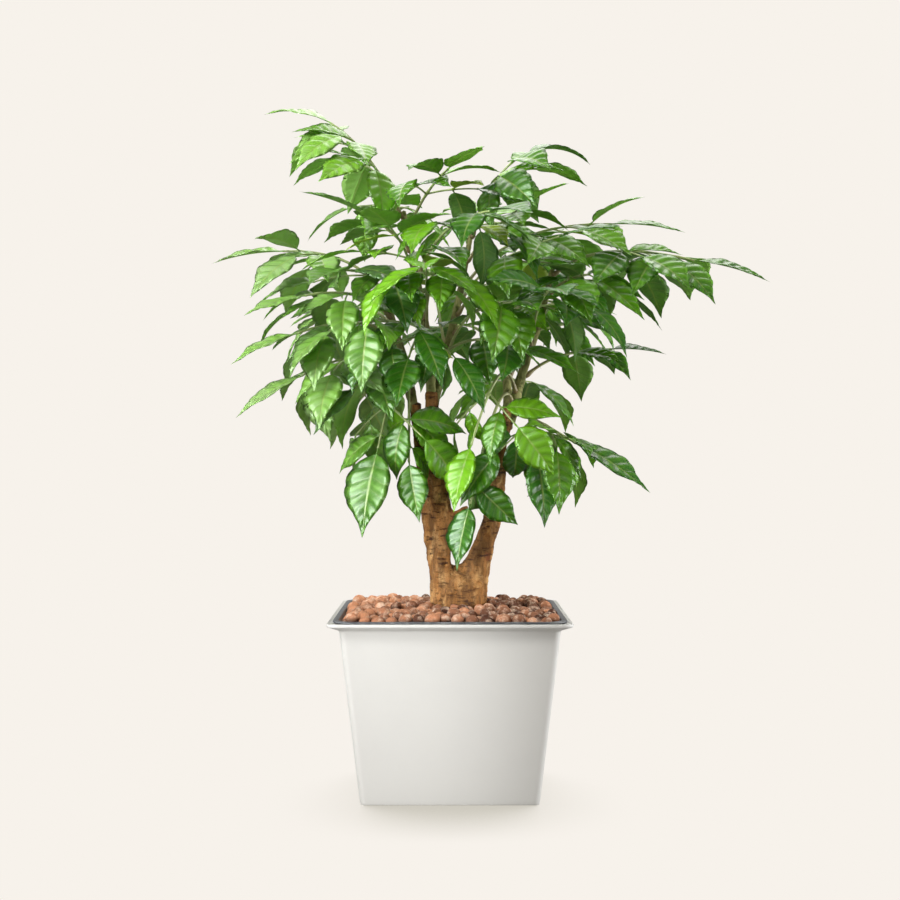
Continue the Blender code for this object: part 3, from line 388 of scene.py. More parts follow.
# Blades in their finer form: where the round foot's rings lie and start, as shares of the length,
# the midrib's radius and its flare at the foot, the half widths between which the blade opens, the
# groove over the midrib, the waves along a margin, and the length and half width that the
# settings' heights are given for
FOOT_SHARES = (-0.016, 0.012, 0.040)
FOOT_START = -0.02
RIB_RADIUS = 0.00060
RIB_FLARE = 0.00035
RIB_FLARE_REACH = 0.03
OPENING = (0.0002, 0.0035)
GROOVE_DEPTH = 0.00022
GROOVE_WIDTH = 0.0010
MARGIN_WAVES = 2.3
WAVE_HEIGHTS = (0.5, 1.3)
MODEL_LENGTH = 0.066
MODEL_HALF_WIDTH = 0.016

# Greens: how light a leaflet is at the middle of the plant, how that changes with x, which is a
# painted light that makes the left, lit side lighter, and with the height above this level, how it
# varies from leaf to leaf and from leaflet to leaflet, and how often a leaflet shorter than this is
# young and yellow
TONE = 0.42
PAINTED_LIGHT_BY_X = -1.8
TONE_BY_HEIGHT = 1.2
TONE_LEVEL = 0.42
TONE_OF_LEAF = 0.14
TONE_OF_LEAFLET = 0.22
YOUNG_TONE = 1.35
YOUNG_LENGTH = 0.054
YOUNG_SHARE = 0.09

# Painted sheen: how far to the left of the middle leaflets begin to be painted pale, as on the
# lit side, and where they are palest
PAINTED_SHEEN = (0.03, 0.18)

# The pieces' meshes: points round and along them
CORNER_POINTS = 12
STALK_ROWS = 44
STALK_SIDES = 8
FORK_ROWS = 14
WOOD_SIDES = 28
WOOD_STEP = 0.0025
SHOOT_SKIN_SIDES = 12
WOOD_VOXEL = 0.0009
CREASE_FILL = 0.0028
VEIN_ROWS = 4
BLADE_COLUMNS = (0.0, 0.09, 0.36, 0.70, 1.0)

# Floor: it lies just below the pot's foot, has many sides, and is dimmed to this tint where the
# share of open sky on this side is low
FLOOR_HEIGHT = -0.0002
FLOOR_SIDES = 64
SHADE_TINT = (184, 184, 173)
SHADE_RANGE = (0.04, 0.90)
SHADE_SIDE = (-0.03, 1.0, 0.28)
SHADE_SAMPLES = 24

# Camera: it stands level, and its frame is 900 pixels square
CAMERA_PLACE = (0.0, -1.351, 0.3067)
CAMERA_LENS = 58.5
CAMERA_SHIFT = 3 / 900


def unit(v):
    """Vectors of length one along the last axis."""
    v = np.asarray(v, float)
    return v / np.linalg.norm(v, axis=-1, keepdims=True)


def turned(v, axis, angle):
    """v turned about a unit axis by the right-hand rule."""
    c, s = math.cos(angle), math.sin(angle)
    return v * c + np.cross(axis, v) * s + axis * (axis @ v) * (1 - c)


def eased(x, low, high):
    """0 below low, 1 above high, and 3x^2 - 2x^3 of the share between them."""
    share = np.clip((x - low) / (high - low), 0, 1)
    return share * share * (3 - 2 * share)


def tint(red, green, blue):
    """A linear colour from the 0 to 255 values that a screen shows."""
    screen = np.array([red, green, blue]) / 255
    linear = np.where(screen <= 0.04045, screen / 12.92, ((screen + 0.055) / 1.055) ** 2.4)
    return tuple(float(x) for x in linear)


def ripple(points, size, stretch, seed, waves):
    """Smooth bumps of about this size, from -1 to 1: the mean of sines whose waves run in random
    directions, with each axis stretched."""
    draw = np.random.default_rng(seed)
    directions = unit(draw.normal(size=(waves, 3))) / np.array(stretch)
    lengths = size * draw.uniform(0.7, 1.6, waves)
    phases = draw.uniform(0, 2 * np.pi, waves)
    turns = points @ (directions * (2 * np.pi / lengths)[:, None]).T + phases
    return np.sin(turns).mean(axis=-1) * math.sqrt(waves) / 2


def bent(at, along, up, length, bend, t):
    """Points, directions and upper sides at shares t of an arc that sets out from a point and bends
    by this angle, in radians, towards its lower side."""
    turn = bend * t
    over, under = np.sin(turn) / bend, (1 - np.cos(turn)) / bend
    point = at + length * (over * along - under * up)
    c, s = np.cos(turn), np.sin(turn)
    return point, c * along - s * up, s * along + c * up


# Layout of the wood: middle lines and the plain tubes that leaves are kept clear of


def smooth_line(rows, step):
    """Rows x, y, z, radius along a smooth curve through the given rows, about step apart."""
    table = np.array(rows, float)
    padded = np.vstack([2 * table[0] - table[1], table, 2 * table[-1] - table[-2]])
    made = []
    for k in range(len(table) - 1):
        a, b, c, d = padded[k : k + 4]
        parts = max(1, round(np.linalg.norm(c[:3] - b[:3]) / step))
        for t in np.arange(parts) / parts:
            square, cube = t * t, t * t * t
            made.append(
                0.5 * (2 * b + (c - a) * t + (2 * a - 5 * b + 4 * c - d) * square)
                + 0.5 * (3 * b - a - 3 * c + d) * cube
            )
    return np.array([*made, table[-1]])


def lofted(rings):
    """Points and faces of a closed skin through rings of equal length, filled at both ends."""
    count = len(rings[0])
    points = [p for ring in rings for p in ring]
    faces = []
    for level in range(len(rings) - 1):
        for k in range(count):
            a, b = level * count + k, level * count + (k + 1) % count
            faces.append((a, b, b + count, a + count))
    faces.append(tuple(range(count)))
    faces.append(tuple(range((len(rings) - 1) * count, len(rings) * count)))
    return points, faces


def tube_rings(line, sides, flatness):
    """Rings round a middle line of x, y, z and radius, of shape (rows, sides, 3). Flatness is their
    depth as a share of their width."""
    along = np.gradient(line[:, :3], axis=0)
    side = unit(np.cross(along, (0.0, 1.0, 0.0)))
    back = unit(np.cross(side, along))
    turn = 2 * np.pi * np.arange(sides) / sides
    around = np.cos(turn)[None, :, None] * side[:, None]
    around = around + (np.sin(turn) * flatness)[None, :, None] * back[:, None]
    return line[:, None, :3] + line[:, None, 3:] * around


def flatness_of(name):
    """The depth of a stem as a share of its width."""
    return BOLE_FLATNESS if name == "bole" else 1.0


def wood_tubes():
    """Name, points and faces of each stem and shoot, with few sides."""
    made = []
    for name, rows in [*STEMS.items(), *SHOOTS.items()]:
        few = name in SHOOTS or name == "cut_twig"
        sides = HOLE_SIDES if name == "bole" else SHOOT_SIDES if few else STEM_SIDES
        line = np.array(rows) if name == "bole" else smooth_line(rows, STEM_STEP)
        made.append((name, *lofted(tube_rings(line, sides, flatness_of(name)).tolist())))
    return made


# Layout of the leaves: each stalk and leaflet is placed where it crosses nothing


class Crowd:
    """What is already placed, so that a new stalk or blade can be kept clear of it."""

    def __init__(self):
        """Starts with nothing placed."""
        self.trees = []
        self.boxes = np.zeros((0, 2, 3))

    def add(self, points, faces):
        """Adds a body and gives its number."""
        self.trees.append(BVHTree.FromPolygons(points, faces))
        box = np.array([[np.min(points, axis=0), np.max(points, axis=0)]])
        self.boxes = np.vstack([self.boxes, box])
        return len(self.trees) - 1

    def free(self, points, faces, parent=None):
        """True if a body of these points and faces would cross nothing but the numbered parent."""
        low, high = np.min(points, axis=0), np.max(points, axis=0)
        near = (self.boxes[:, 0] < high).all(axis=1) & (self.boxes[:, 1] > low).all(axis=1)
        if parent is not None:
            near[parent] = False
        if not near.any():
            return True
        tree = BVHTree.FromPolygons(points, faces)
        return not any(tree.overlap(self.trees[k]) for k in np.flatnonzero(near))


def half_width(t):
    """Half the width of a leaflet at share t of its length, as a share of its full width: a bare
    foot, and then 0.52 times the sine of pi u^0.74, to the power 0.95, at share u of the rest,
    which is halved towards a drawn-out tip."""
    u = np.clip((np.asarray(t, float) - BARE_SHARE) / (1 - BARE_SHARE), 0, 1)
    taper = np.clip((u - 0.55) / 0.40, 0, 1)
    drawn = 1 - 0.50 * taper * taper * (3 - 2 * taper)
    return 0.52 * np.sin(np.pi * u**0.74) ** 0.95 * drawn


def midrib(leaf, t):
    """Points, directions and upper sides of a leaflet at shares t of its midrib, which bends in an
    arc towards its lower side."""
    keys = ("at", "along", "up", "length", "bend")
    return bent(*(leaf[key] for key in keys), np.asarray(t, float)[..., None])


def ring_faces(first, second):
    """Triangles between two six-point rings, split alike above and below."""
    a, b = first, second
    return [
        (a[0], a[1], b[1]),
        (a[0], b[1], b[0]),
        (a[2], b[1], a[1]),
        (a[2], b[2], b[1]),
        (a[3], a[4], b[4]),
        (a[3], b[4], b[3]),
        (a[5], b[4], a[4]),
        (a[5], b[5], b[4]),
        (a[2], a[3], b[3]),
        (a[2], b[3], b[2]),
        (a[5], a[0], b[0]),
        (a[5], b[0], b[5]),
    ]


def blade_faces(rings):
    """Faces of a test blade through this many six-point rings, open at the tip."""
    faces = [(0, 1, 4, 5), (1, 2, 3, 4)]
    for k in range(1, rings):
        faces += ring_faces(range(6 * k - 6, 6 * k), range(6 * k, 6 * k + 6))
    return faces


WHOLE_BLADE = blade_faces(len(TEST_STATIONS))
BLADE_PAST_FOOT = blade_faces(len(TEST_STATIONS) - 1)


def test_blade(leaf):
    """Points of a leaflet that is taken a little thicker and wider, six to a station."""
    t = np.array(TEST_STATIONS)
    point, along, up = midrib(leaf, t)
    side = np.cross(along, up)
    half = (half_width(t) * leaf["width"] + TEST_WIDER)[:, None]
    lift = half * math.tan(leaf["fold"])
    right, left = point + side * half + up * lift, point - side * half + up * lift
    top = up * TEST_THICKNESS / 2
    ring = [right + top, point + top, left + top, left - top, point - top, right - top]
    return np.stack(ring, axis=1).reshape(-1, 3)


def leaflet(at, along, up, outward, length, droop, draw):
    """A leaflet that starts at a point, with its upper side turned partly to the light. The stalk
    that it grows on lies behind it, and outward points away from there."""
    side = unit(np.cross(along, up * (1 - LIGHT_SHARE) + np.array(LIGHT) * LIGHT_SHARE))
    dip = LEAFLET_DIP[0] + (LEAFLET_DIP[1] - LEAFLET_DIP[0]) * droop
    bend = LEAFLET_BEND[0] + (LEAFLET_BEND[1] - LEAFLET_BEND[0]) * droop
    leaf = {
        "at": np.array(at),
        "outward": outward,
        "stalk_up": up,
        "along": unit(along),
        "up": np.cross(side, unit(along)),
        "length": length,
        "width": length * WIDTH_TO_LENGTH * draw.uniform(*WIDTH_VARIES),
        "bend": bend * draw.uniform(*BEND_VARIES),
        "fold": LEAFLET_FOLD * draw.uniform(*FOLD_VARIES),
    }
    swing = draw.uniform(-SWING_STRAY, SWING_STRAY)
    return varied(leaf, swing, dip + draw.uniform(-DIP_STRAY, DIP_STRAY), 0.0, 1)


def varied(leaf, swing, dip, roll, size):
    """The leaflet swung about its upper side, dipped, rolled about its length and resized."""
    along, up = leaf["along"], leaf["up"]
    along = turned(along, up, swing)
    side = unit(np.cross(along, up))
    along, up = turned(along, side, -dip), turned(up, side, -dip)
    up = turned(up, along, roll)
    changed = dict(leaf, along=unit(along), up=unit(up))
    changed["length"] = leaf["length"] * size
    changed["width"] = leaf["width"] * size
    return changed


def leaflet_choices():
    """Ways to move a leaflet out of another's way, from the least change to the most."""
    swings = (0, 0.2, -0.2, 0.4, -0.4, 0.65, -0.65)
    dips = (0, 0.25, -0.25, 0.5, -0.5, 0.8)
    rolls = (0, 0.35, -0.35, 0.7, -0.7)
    sizes = (1, 0.86, 0.72, 0.6)
    rows = list(itertools.product(swings, dips, rolls, sizes))
    rows.sort(key=lambda r: abs(r[0]) + abs(r[1]) + 0.8 * abs(r[2]) + 2.2 * (1 - r[3]))
    return rows


def settled(leaf, crowd, choices, parent):
    """The first way to place a leaflet that crosses nothing, or None. Its foot may touch the
    numbered parent."""
    for choice in choices:
        moved = varied(leaf, *choice)
        along, up = moved["along"], leaf["stalk_up"]
        if unit(up - along * (along @ up)) @ moved["up"] < LEAST_TWIST_COSINE:
            continue
        points = test_blade(moved)
        if np.min((points[6:] - leaf["at"]) @ leaf["outward"]) < -MOST_BEHIND:
            continue
        points = points.tolist()
        if crowd.free(points, WHOLE_BLADE, parent) and crowd.free(points[6:], BLADE_PAST_FOOT):
            crowd.add(points, WHOLE_BLADE)
            return moved
    return None


def stalk_tube(points, ups, half):
    """Points and faces of a square stalk through these points."""
    along = np.gradient(points, axis=0)
    rings = []
    for point, direction, up in zip(points, along, ups):
        side = unit(np.cross(direction, up))
        corners = ((1, 1), (-1, 1), (-1, -1), (1, -1))
        rings.append([tuple(point + side * half * a + up * half * b) for a, b in corners])
    return lofted(rings)


def upper_sides(points, level):
    """The upper side at each point of a stalk that leans neither way from a level side line."""
    return unit(np.cross(level, unit(np.gradient(points, axis=0))))


def bezier(a, b, c, d, t):
    """Points at shares t of the cubic curve from a to d, which sets out towards b and comes in
    from c."""
    t = np.asarray(t, float)[:, None]
    rest = 1 - t
    return rest**3 * a + 3 * rest**2 * t * b + 3 * rest * t**2 * c + t**3 * d


def along_curve(curve, lengths):
    """Points at these lengths along a finely divided curve."""
    walked = np.concatenate([[0], np.cumsum(np.linalg.norm(np.diff(curve, axis=0), axis=1))])
    return np.array([[np.interp(s, walked, curve[:, k]) for k in range(3)] for s in lengths])


def foot_on(skin, centre, out, axis):
    """A foot's middle point, just clear of a shoot's skin, which is felt for all over the foot."""
    across = np.cross(out, axis)
    offsets = itertools.product(
        np.linspace(-FOOT_REACH, FOOT_REACH, 5), np.linspace(-FOOT_REACH, FOOT_REACH, 17)
    )
    starts = [centre + a * axis + b * across for a, b in offsets]
    hits = [skin.ray_cast(start + out * 0.03, -out)[0] for start in starts]
    height = max((np.array(hit) - centre) @ out for hit in hits if hit is not None)
    return centre + out * (height + FIT)


def leaf_route(row, skins, lean):
    """The middle line of a leaf from its foot on the shoot to the end leaflet's tip, and the way
    out of the shoot. The line sets out from the shoot and rises over the straight way between the
    two, the more it droops the later. The arch is turned by lean about that straight way."""
    line = smooth_line(SHOOTS[row.shoot], STEM_STEP / 4)
    place = row.share * (len(line) - 1)
    low = min(int(place), len(line) - 2)
    centre = line[low] + (line[low + 1] - line[low]) * (place - low)
    axis = unit(line[low + 1][:3] - line[low][:3])
    tip = np.array(row.tip)
    towards = tip - centre[:3]
    out = unit(towards - axis * (axis @ towards))
    foot = foot_on(skins[row.shoot], centre[:3], out, axis)
    reach = np.linalg.norm(tip - foot)
    chord = unit(tip - foot)
    rise = turned(np.array([0.0, 0.0, 1.0]), chord, lean)
    second = foot + reach * (0.10 * out + 0.10 * chord + 1.5 * row.arch * rise)
    third = foot + reach * (0.60 * chord + (0.9 + 0.5 * row.droop) * row.arch * rise)
    curve = bezier(foot, second, third, tip, np.linspace(0, 1, 80))
    curve[0] = foot
    return curve, out


def plan_stalk(row, skins, crowd):
    """Places a leaf's main stalk so that it crosses no wood and no other stalk."""
    for lean in STALK_LEANS:
        curve, out = leaf_route(row, skins, lean)
        steps = np.linalg.norm(np.diff(curve, axis=0), axis=1)
        bare = steps.sum() - row.length
        joints = [share * bare for share, _ in KINDS[row.kind]]
        first = joints[0]
        lengths = [0, min(FOOT_LENGTH, 0.2 * first), 0.38 * first, 0.70 * first]
        for s in joints:
            lengths += [s - JOINT, s + JOINT]
        lengths.append(bare)
        points = along_curve(curve, lengths)
        level = unit(np.cross(curve[-1] - curve[0], (0.0, 0.0, 1.0)))
        ups = upper_sides(points, level)
        ups[0] = unit(np.cross(level, out))
        widths = [STALK_FOOT, STALK_FOOT, STALK_END]
        halves = np.interp(np.array(lengths) / bare, [0, 0.1, 1], widths)
        halves[0] = STALK_BASE
        fine = along_curve(curve, np.linspace(TEST_FROM_FOOT, bare, 12))
        test = stalk_tube(fine, upper_sides(fine, level), TEST_STALK)
        if crowd.free(*test):
            break
    else:
        raise ValueError(f"the stalk to {row.tip} has no clear way")
    return {
        "points": points,
        "ups": ups,
        "halves": halves,
        "out": out,
        "number": crowd.add(*test),
        "heading": unit(along_curve(curve, [bare + 0.004])[0] - points[-1]),
        "end_chord": curve[-1] - points[-1],
        "joints": [(4 + 2 * k, forks) for k, (_, forks) in enumerate(KINDS[row.kind])],
        "curve": curve,
        "level": level,
        "bare": bare,
        "joint_lengths": joints,
    }


def frame_at(stalk, ring):
    """Middle, direction, upper side and right side of a stalk at the joint that starts at a
    ring."""
    a, b = stalk["points"][ring], stalk["points"][ring + 1]
    along = unit(b - a)
    up = stalk["ups"][ring] + stalk["ups"][ring + 1]
    up = unit(up - along * (along @ up))
    return (a + b) / 2, along, up, np.cross(along, up)


def plan_fork(stalk, ring, hand, length, crowd, draw):
    """Places a side stalk at a joint. hand is 1 on the right and -1 on the left."""
    middle, along, up, right = frame_at(stalk, ring)
    root = middle + hand * right * stalk["halves"][ring]
    length = length * draw.uniform(*FORK_VARIES)
    for swing, dip in itertools.product(FORK_SWINGS, FORK_DIPS):
        angle = FORK_ANGLE + swing
        heading = math.cos(angle) * along + math.sin(angle) * hand * right
        level = unit(np.cross(heading, up))
        heading = turned(heading, level, -dip)
        top = np.cross(level, heading)
        arc = {"at": root, "along": heading, "up": top, "length": length, "bend": FORK_SAG}
        joint = FORK_JOINT * length
        shares = [0, (joint - JOINT) / length, (joint + JOINT) / length, 1]
        points, directions, ups = midrib(arc, shares)
        fine = midrib(arc, np.linspace(0.02, 1, 6))[0]
        test = stalk_tube(fine, upper_sides(fine, level), TEST_STALK)
        if crowd.free(*test, stalk["number"]):
            number = crowd.add(*test)
            break
    else:
        return None
    return {
        "points": points,
        "ups": ups,
        "halves": np.full(4, FORK_STALK),
        "heading": directions[-1],
        "joints": [(1, False)],
        "number": number,
        "arc": arc,
    }


def plan_leaf(row, skins, crowd, draw):
    """Places a leaf's stalks. Its leaflets come after every leaf's stalks are in place."""
    stalk = plan_stalk(row, skins, crowd)
    stalk["side"] = {}
    for number, (ring, forks) in enumerate(stalk["joints"]):
        for hand in (1, -1):
            if forks:
                length = FORK_LENGTH * (FIRST_FORK if number == 0 else LATER_FORK)
                stalk["side"][ring, hand] = plan_fork(stalk, ring, hand, length, crowd, draw)
    return stalk


def end_leaflet(stalk, length, droop, draw, chord=None):
    """The leaflet at a stalk's end. With a chord it bends so that its tip comes to the chord's
    end."""
    along, up = stalk["heading"], stalk["ups"][-1]
    leaf = leaflet(stalk["points"][-1], along, up, along, length, droop, draw)
    if chord is None:
        return leaf
    towards = unit(chord)
    lit = np.array((0.0, 0.0, 1 - LIGHT_SHARE)) + np.array(LIGHT) * LIGHT_SHARE
    side = unit(np.cross(towards, lit))
    bend = float(np.clip(2 * math.acos(np.clip(along @ towards, -1, 1)), *END_BEND))
    start = turned(towards, side, bend / 2)
    return dict(leaf, along=start, up=np.cross(side, start), bend=bend)


def side_leaflet(stalk, ring, hand, length, droop, draw):
    """A leaflet beside a stalk, at the joint that starts at a ring. hand is 1 on the right and -1
    on the left."""
    middle, along, up, right = frame_at(stalk, ring)
    root = middle + hand * right * stalk["halves"][ring]
    heading = math.cos(LEAFLET_ANGLE) * along + math.sin(LEAFLET_ANGLE) * hand * right
    length = length * draw.uniform(*SIDE_VARIES)
    return leaflet(root, heading, up, hand * right, length, droop, draw)


def plan_leaflets(row, stalk, crowd, draw, choices):
    """Places a leaf's leaflets, the end one first, each where it crosses nothing."""
    length, droop = min(row.length, LARGEST_SIDE), row.droop
    end = end_leaflet(stalk, row.length, droop, draw, stalk["end_chord"])
    stalk["end"] = settled(end, crowd, choices, stalk["number"])
    for ring, forks in stalk["joints"]:
        for hand in (1, -1):
            if not forks:
                side = side_leaflet(stalk, ring, hand, length * SIDE_LENGTH, droop, draw)
                stalk["side"][ring, hand] = settled(side, crowd, choices, stalk["number"])
                continue
            branch = stalk["side"][ring, hand]
            if branch is None:
                continue
            size = length * FORK_LEAF_LENGTH
            end = end_leaflet(branch, size, droop, draw)
            branch["end"] = settled(end, crowd, choices, branch["number"])
            branch["side"] = {}
            for turn in (1, -1):
                share = SIDE_LENGTH if turn == hand else INNER_LENGTH
                side = side_leaflet(branch, 1, turn, size * share, droop, draw)
                branch["side"][1, turn] = settled(side, crowd, choices, branch["number"])


def plan_leaves():
    """The plans of all leaves, in the order of the list."""
    draw = random.Random(GROWTH_SEED)
    crowd = Crowd()
    skins = {}
    for name, points, faces in wood_tubes():
        skins[name] = crowd.trees[crowd.add(points, faces)]
    stalks = [plan_leaf(row, skins, crowd, draw) for row in LEAVES]
    choices = leaflet_choices()
    for row, stalk in zip(LEAVES, stalks):
        plan_leaflets(row, stalk, crowd, draw, choices)
    return stalks


# Meshes: closed skins gathered as whole arrays


class Piece:
    """Closed skins gathered into one mesh. A skin is a stack of rings, closed to a point at each
    end."""

    def __init__(self):
        """Starts with no skins. Finishes are kept apart for quads and for triangles."""
        self.points = []
        self.quads = []
        self.triangles = []
        self.finishes = ([], [])
        self.uvs = []
        self.tones = []
        self.ages_and_painted_light = []
        self.size = 0

    def add(self, rings, starts, ends, uv=None, tone=0.0, age=0.0, finish=0):
        """Adds skins of rings, of shape (count, rows, columns, 3), which turn by the right-hand
        rule about the way from starts to ends. uv is (rows, columns, 2), tone is one value a skin,
        age is of shape (count or 1, rows or 1, columns or 1), and finish is one
        number or one a column. age is the age of wood and stalks, the painted shade
        on pebbles' lower sides and the painted pale sheen on leaflets to the left."""
        count, rows, columns, _ = rings.shape
        size = rows * columns + 2
        poles = np.stack([np.broadcast_to(end, (count, 3)) for end in (starts, ends)], axis=1)
        points = np.concatenate([rings.reshape(count, -1, 3), poles], axis=1)
        turn = np.arange(columns)
        following = (turn + 1) % columns
        a = (np.arange(rows - 1) * columns)[:, None] + turn
        b = (np.arange(rows - 1) * columns)[:, None] + following
        quads = np.stack([a, b, b + columns, a + columns], axis=-1).reshape(-1, 4)
        last = (rows - 1) * columns
        foot = np.stack([following, turn, np.full(columns, size - 2)], axis=-1)
        tip = np.stack([last + turn, last + following, np.full(columns, size - 1)], axis=-1)
        shift = (self.size + np.arange(count) * size)[:, None, None]
        self.points.append(points.reshape(-1, 3))
        self.quads.append((quads + shift).reshape(-1, 4))
        self.triangles.append((np.concatenate([foot, tip]) + shift).reshape(-1, 3))
        by_column = np.broadcast_to(finish, columns)
        self.finishes[0].append(np.tile(by_column, count * (rows - 1)))
        self.finishes[1].append(np.tile(by_column, 2 * count))
        if uv is None:
            uv = np.zeros((rows, columns, 2))
        flat = np.vstack([uv.reshape(-1, 2), uv[0].mean(axis=0), uv[-1].mean(axis=0)])
        self.uvs.append(np.tile(flat, (count, 1)))
        self.tones.append(np.repeat(np.broadcast_to(tone, count), size))
        ages_and_painted_light = np.broadcast_to(age, (count, rows, columns)).reshape(count, -1)
        self.ages_and_painted_light.append(np.hstack([ages_and_painted_light, ages_and_painted_light[:, :1], ages_and_painted_light[:, -1:]]).ravel())
        self.size += count * size

    def add_faces(self, points, quads, age=0.0):
        """Adds a closed skin of four-sided faces as it is."""
        self.points.append(points)
        self.quads.append(quads + self.size)
        self.finishes[0].append(np.zeros(len(quads), int))
        self.uvs.append(np.zeros((len(points), 2)))
        self.tones.append(np.zeros(len(points)))
        self.ages_and_painted_light.append(np.broadcast_to(age, len(points)))
        self.size += len(points)

    def mesh(self, name, materials):
        """The gathered mesh, shaded smooth, with its UV map and its tone and age at each point."""
        points = np.concatenate(self.points)
        quads, triangles = np.concatenate(self.quads), np.concatenate(self.triangles)
        corners = np.concatenate([quads.ravel(), triangles.ravel()])
        starts = [4 * np.arange(len(quads)), quads.size + 3 * np.arange(len(triangles))]
        mesh = bpy.data.meshes.new(name)
        mesh.vertices.add(len(points))
        mesh.vertices.foreach_set("co", points.astype(np.float32).ravel())
        mesh.loops.add(len(corners))
        mesh.loops.foreach_set("vertex_index", corners.astype(np.int32))
        mesh.polygons.add(len(quads) + len(triangles))
        mesh.polygons.foreach_set("loop_start", np.concatenate(starts).astype(np.int32))
        finishes = np.concatenate([*self.finishes[0], *self.finishes[1]])
        mesh.polygons.foreach_set("material_index", finishes.astype(np.int32))
        uvs = np.concatenate(self.uvs)[corners]
        mesh.uv_layers.new(name="UVMap").data.foreach_set("uv", uvs.astype(np.float32).ravel())
        for label, values in (("tone", self.tones), ("age", self.ages_and_painted_light)):
            layer = mesh.attributes.new(label, "FLOAT", "POINT")
            layer.data.foreach_set("value", np.concatenate(values).astype(np.float32))
        mesh.update(calc_edges=True)
        mesh.validate()
        for material in materials:
            mesh.materials.append(material)
        mesh.shade_smooth()
        return mesh


def place(name, mesh, slot, node):
    """An object of this mesh that rides with the plant and stands for this solid."""
    obj = bpy.data.objects.new(name, mesh)
    bpy.context.scene.collection.objects.link(obj)
    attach(obj, BODY)
    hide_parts(node)


# Materials


def new_finish(name, roughness, **constants):
    """A material with its node tree and its Principled shader. Constants are set on the shader."""
    material = bpy.data.materials.new(name)
    material.use_nodes = True
    tree = material.node_tree
    shader = tree.nodes["Principled BSDF"]
    shader.inputs["Roughness"].default_value = roughness
    for label, value in constants.items():
        shader.inputs[label.replace("_", " ")].default_value = value
    return material, tree, shader


def put(tree, kind, settings=None, **inputs):
    """A shader node with its settings and inputs. An input that is a socket is linked."""
    node = tree.nodes.new("ShaderNode" + kind)
    for label, value in (settings or {}).items():
        setattr(node, label, value)
    for label, value in inputs.items():
        feed(tree, node.inputs[label.replace("_", " ")], value)
    return node


def feed(tree, socket, value):
    """Links a socket to this one, or sets its value."""
    if isinstance(value, bpy.types.NodeSocket):
        tree.links.new(value, socket)
    elif hasattr(value, "__len__") and len(value) == 3 and len(socket.default_value) == 4:
        socket.default_value = (*value, 1.0)
    else:
        socket.default_value = value


def maths(tree, operation, first, second=0.0, clamp=False):
    """What a maths node gives for one or two values."""
    node = tree.nodes.new("ShaderNodeMath")
    node.operation = operation
    node.use_clamp = clamp
    for socket, value in zip(node.inputs, (first, second)):
        feed(tree, socket, value)
    return node.outputs[0]


def centred(tree, value, size):
    """The value less a half, times size."""
    return maths(tree, "MULTIPLY", maths(tree, "SUBTRACT", value, 0.5), size)


def off_middle(tree, value):
    """Twice the value's distance from a half."""
    distance = maths(tree, "ABSOLUTE", maths(tree, "SUBTRACT", value, 0.5))
    return maths(tree, "MULTIPLY", distance, 2.0)


def attribute(tree, name):
    """The mesh's own value of this name, tone or age."""
    return put(tree, "Attribute", {"attribute_name": name}).outputs["Fac"]


def mixed(tree, share, first, second):
    """A mix of two colours: the first at share 0, the second at share 1."""
    node = tree.nodes.new("ShaderNodeMix")
    node.data_type = "RGBA"
    feed(tree, node.inputs["Factor"], share)
    feed(tree, node.inputs[6], first)
    feed(tree, node.inputs[7], second)
    return node.outputs[2]


def spread(tree, value, low, high, to_low=0.0, to_high=1.0):
    """The value's place between low and high, eased, and carried over to the second range."""
    node = put(tree, "MapRange", {"interpolation_type": "SMOOTHSTEP"}, Value=value)
    bounds = {"From Min": low, "From Max": high, "To Min": to_low, "To Max": to_high}
    for label, bound in bounds.items():
        node.inputs[label].default_value = bound
    return node.outputs["Result"]


def stretched(tree, stretch=(1, 1, 1)):
    """The object's own coordinates, scaled along its axes."""
    coordinates = put(tree, "TexCoord").outputs["Object"]
    return put(tree, "Mapping", Vector=coordinates, Scale=stretch).outputs["Vector"]


def noise(tree, scale, detail, roughness=0.5, stretch=(1, 1, 1)):
    """Noise on the object's own coordinates, scaled along its axes."""
    place_at = stretched(tree, stretch)
    node = put(tree, "TexNoise", Vector=place_at, Scale=scale, Detail=detail, Roughness=roughness)
    return node.outputs["Fac"]


def cell_edges(tree, scale):
    """How far it is to the nearest edge in a net of cells on the object's own coordinates."""
    to_edge = {"feature": "DISTANCE_TO_EDGE"}
    node = put(tree, "TexVoronoi", to_edge, Vector=stretched(tree), Scale=scale)
    return node.outputs["Distance"]


def raised(tree, shader, height, distance):
    """Feeds a bump of this height to a shader's normal, and gives the normal."""
    normal = put(tree, "Bump", Height=height, Distance=distance).outputs["Normal"]
    tree.links.new(normal, shader.inputs["Normal"])
    return normal


def pot_finish(colour):
    """Satin white: a faint orange peel, and a few duller clouds where hands have been."""
    material, tree, shader = new_finish("satin white", 0.36, Coat_Weight=0.12, Coat_Roughness=0.25)
    clouds = noise(tree, 14, 4)
    warm = tuple(channel * 0.965 for channel in colour)
    white = mixed(tree, spread(tree, clouds, 0.35, 0.75), colour, warm)
    feed(tree, shader.inputs["Base Color"], white)
    feed(tree, shader.inputs["Roughness"], spread(tree, clouds, 0.3, 0.7, 0.33, 0.43))
    raised(tree, shader, noise(tree, 700, 2), 0.00004)
    return material


def grow_pot_finish(colour):
    """Dark moulded plastic with dust on its lip and fine scuffs."""
    material, tree, shader = new_finish("dark moulded plastic", 0.42)
    dust = spread(tree, noise(tree, 60, 6, 0.65), 0.42, 0.72)
    feed(tree, shader.inputs["Base Color"], mixed(tree, dust, colour, tint(124, 126, 128)))
    feed(tree, shader.inputs["Roughness"], spread(tree, dust, 0, 1, 0.34, 0.6))
    raised(tree, shader, noise(tree, 900, 3, 0.6, (1, 1, 0.2)), 0.0001)
    return material


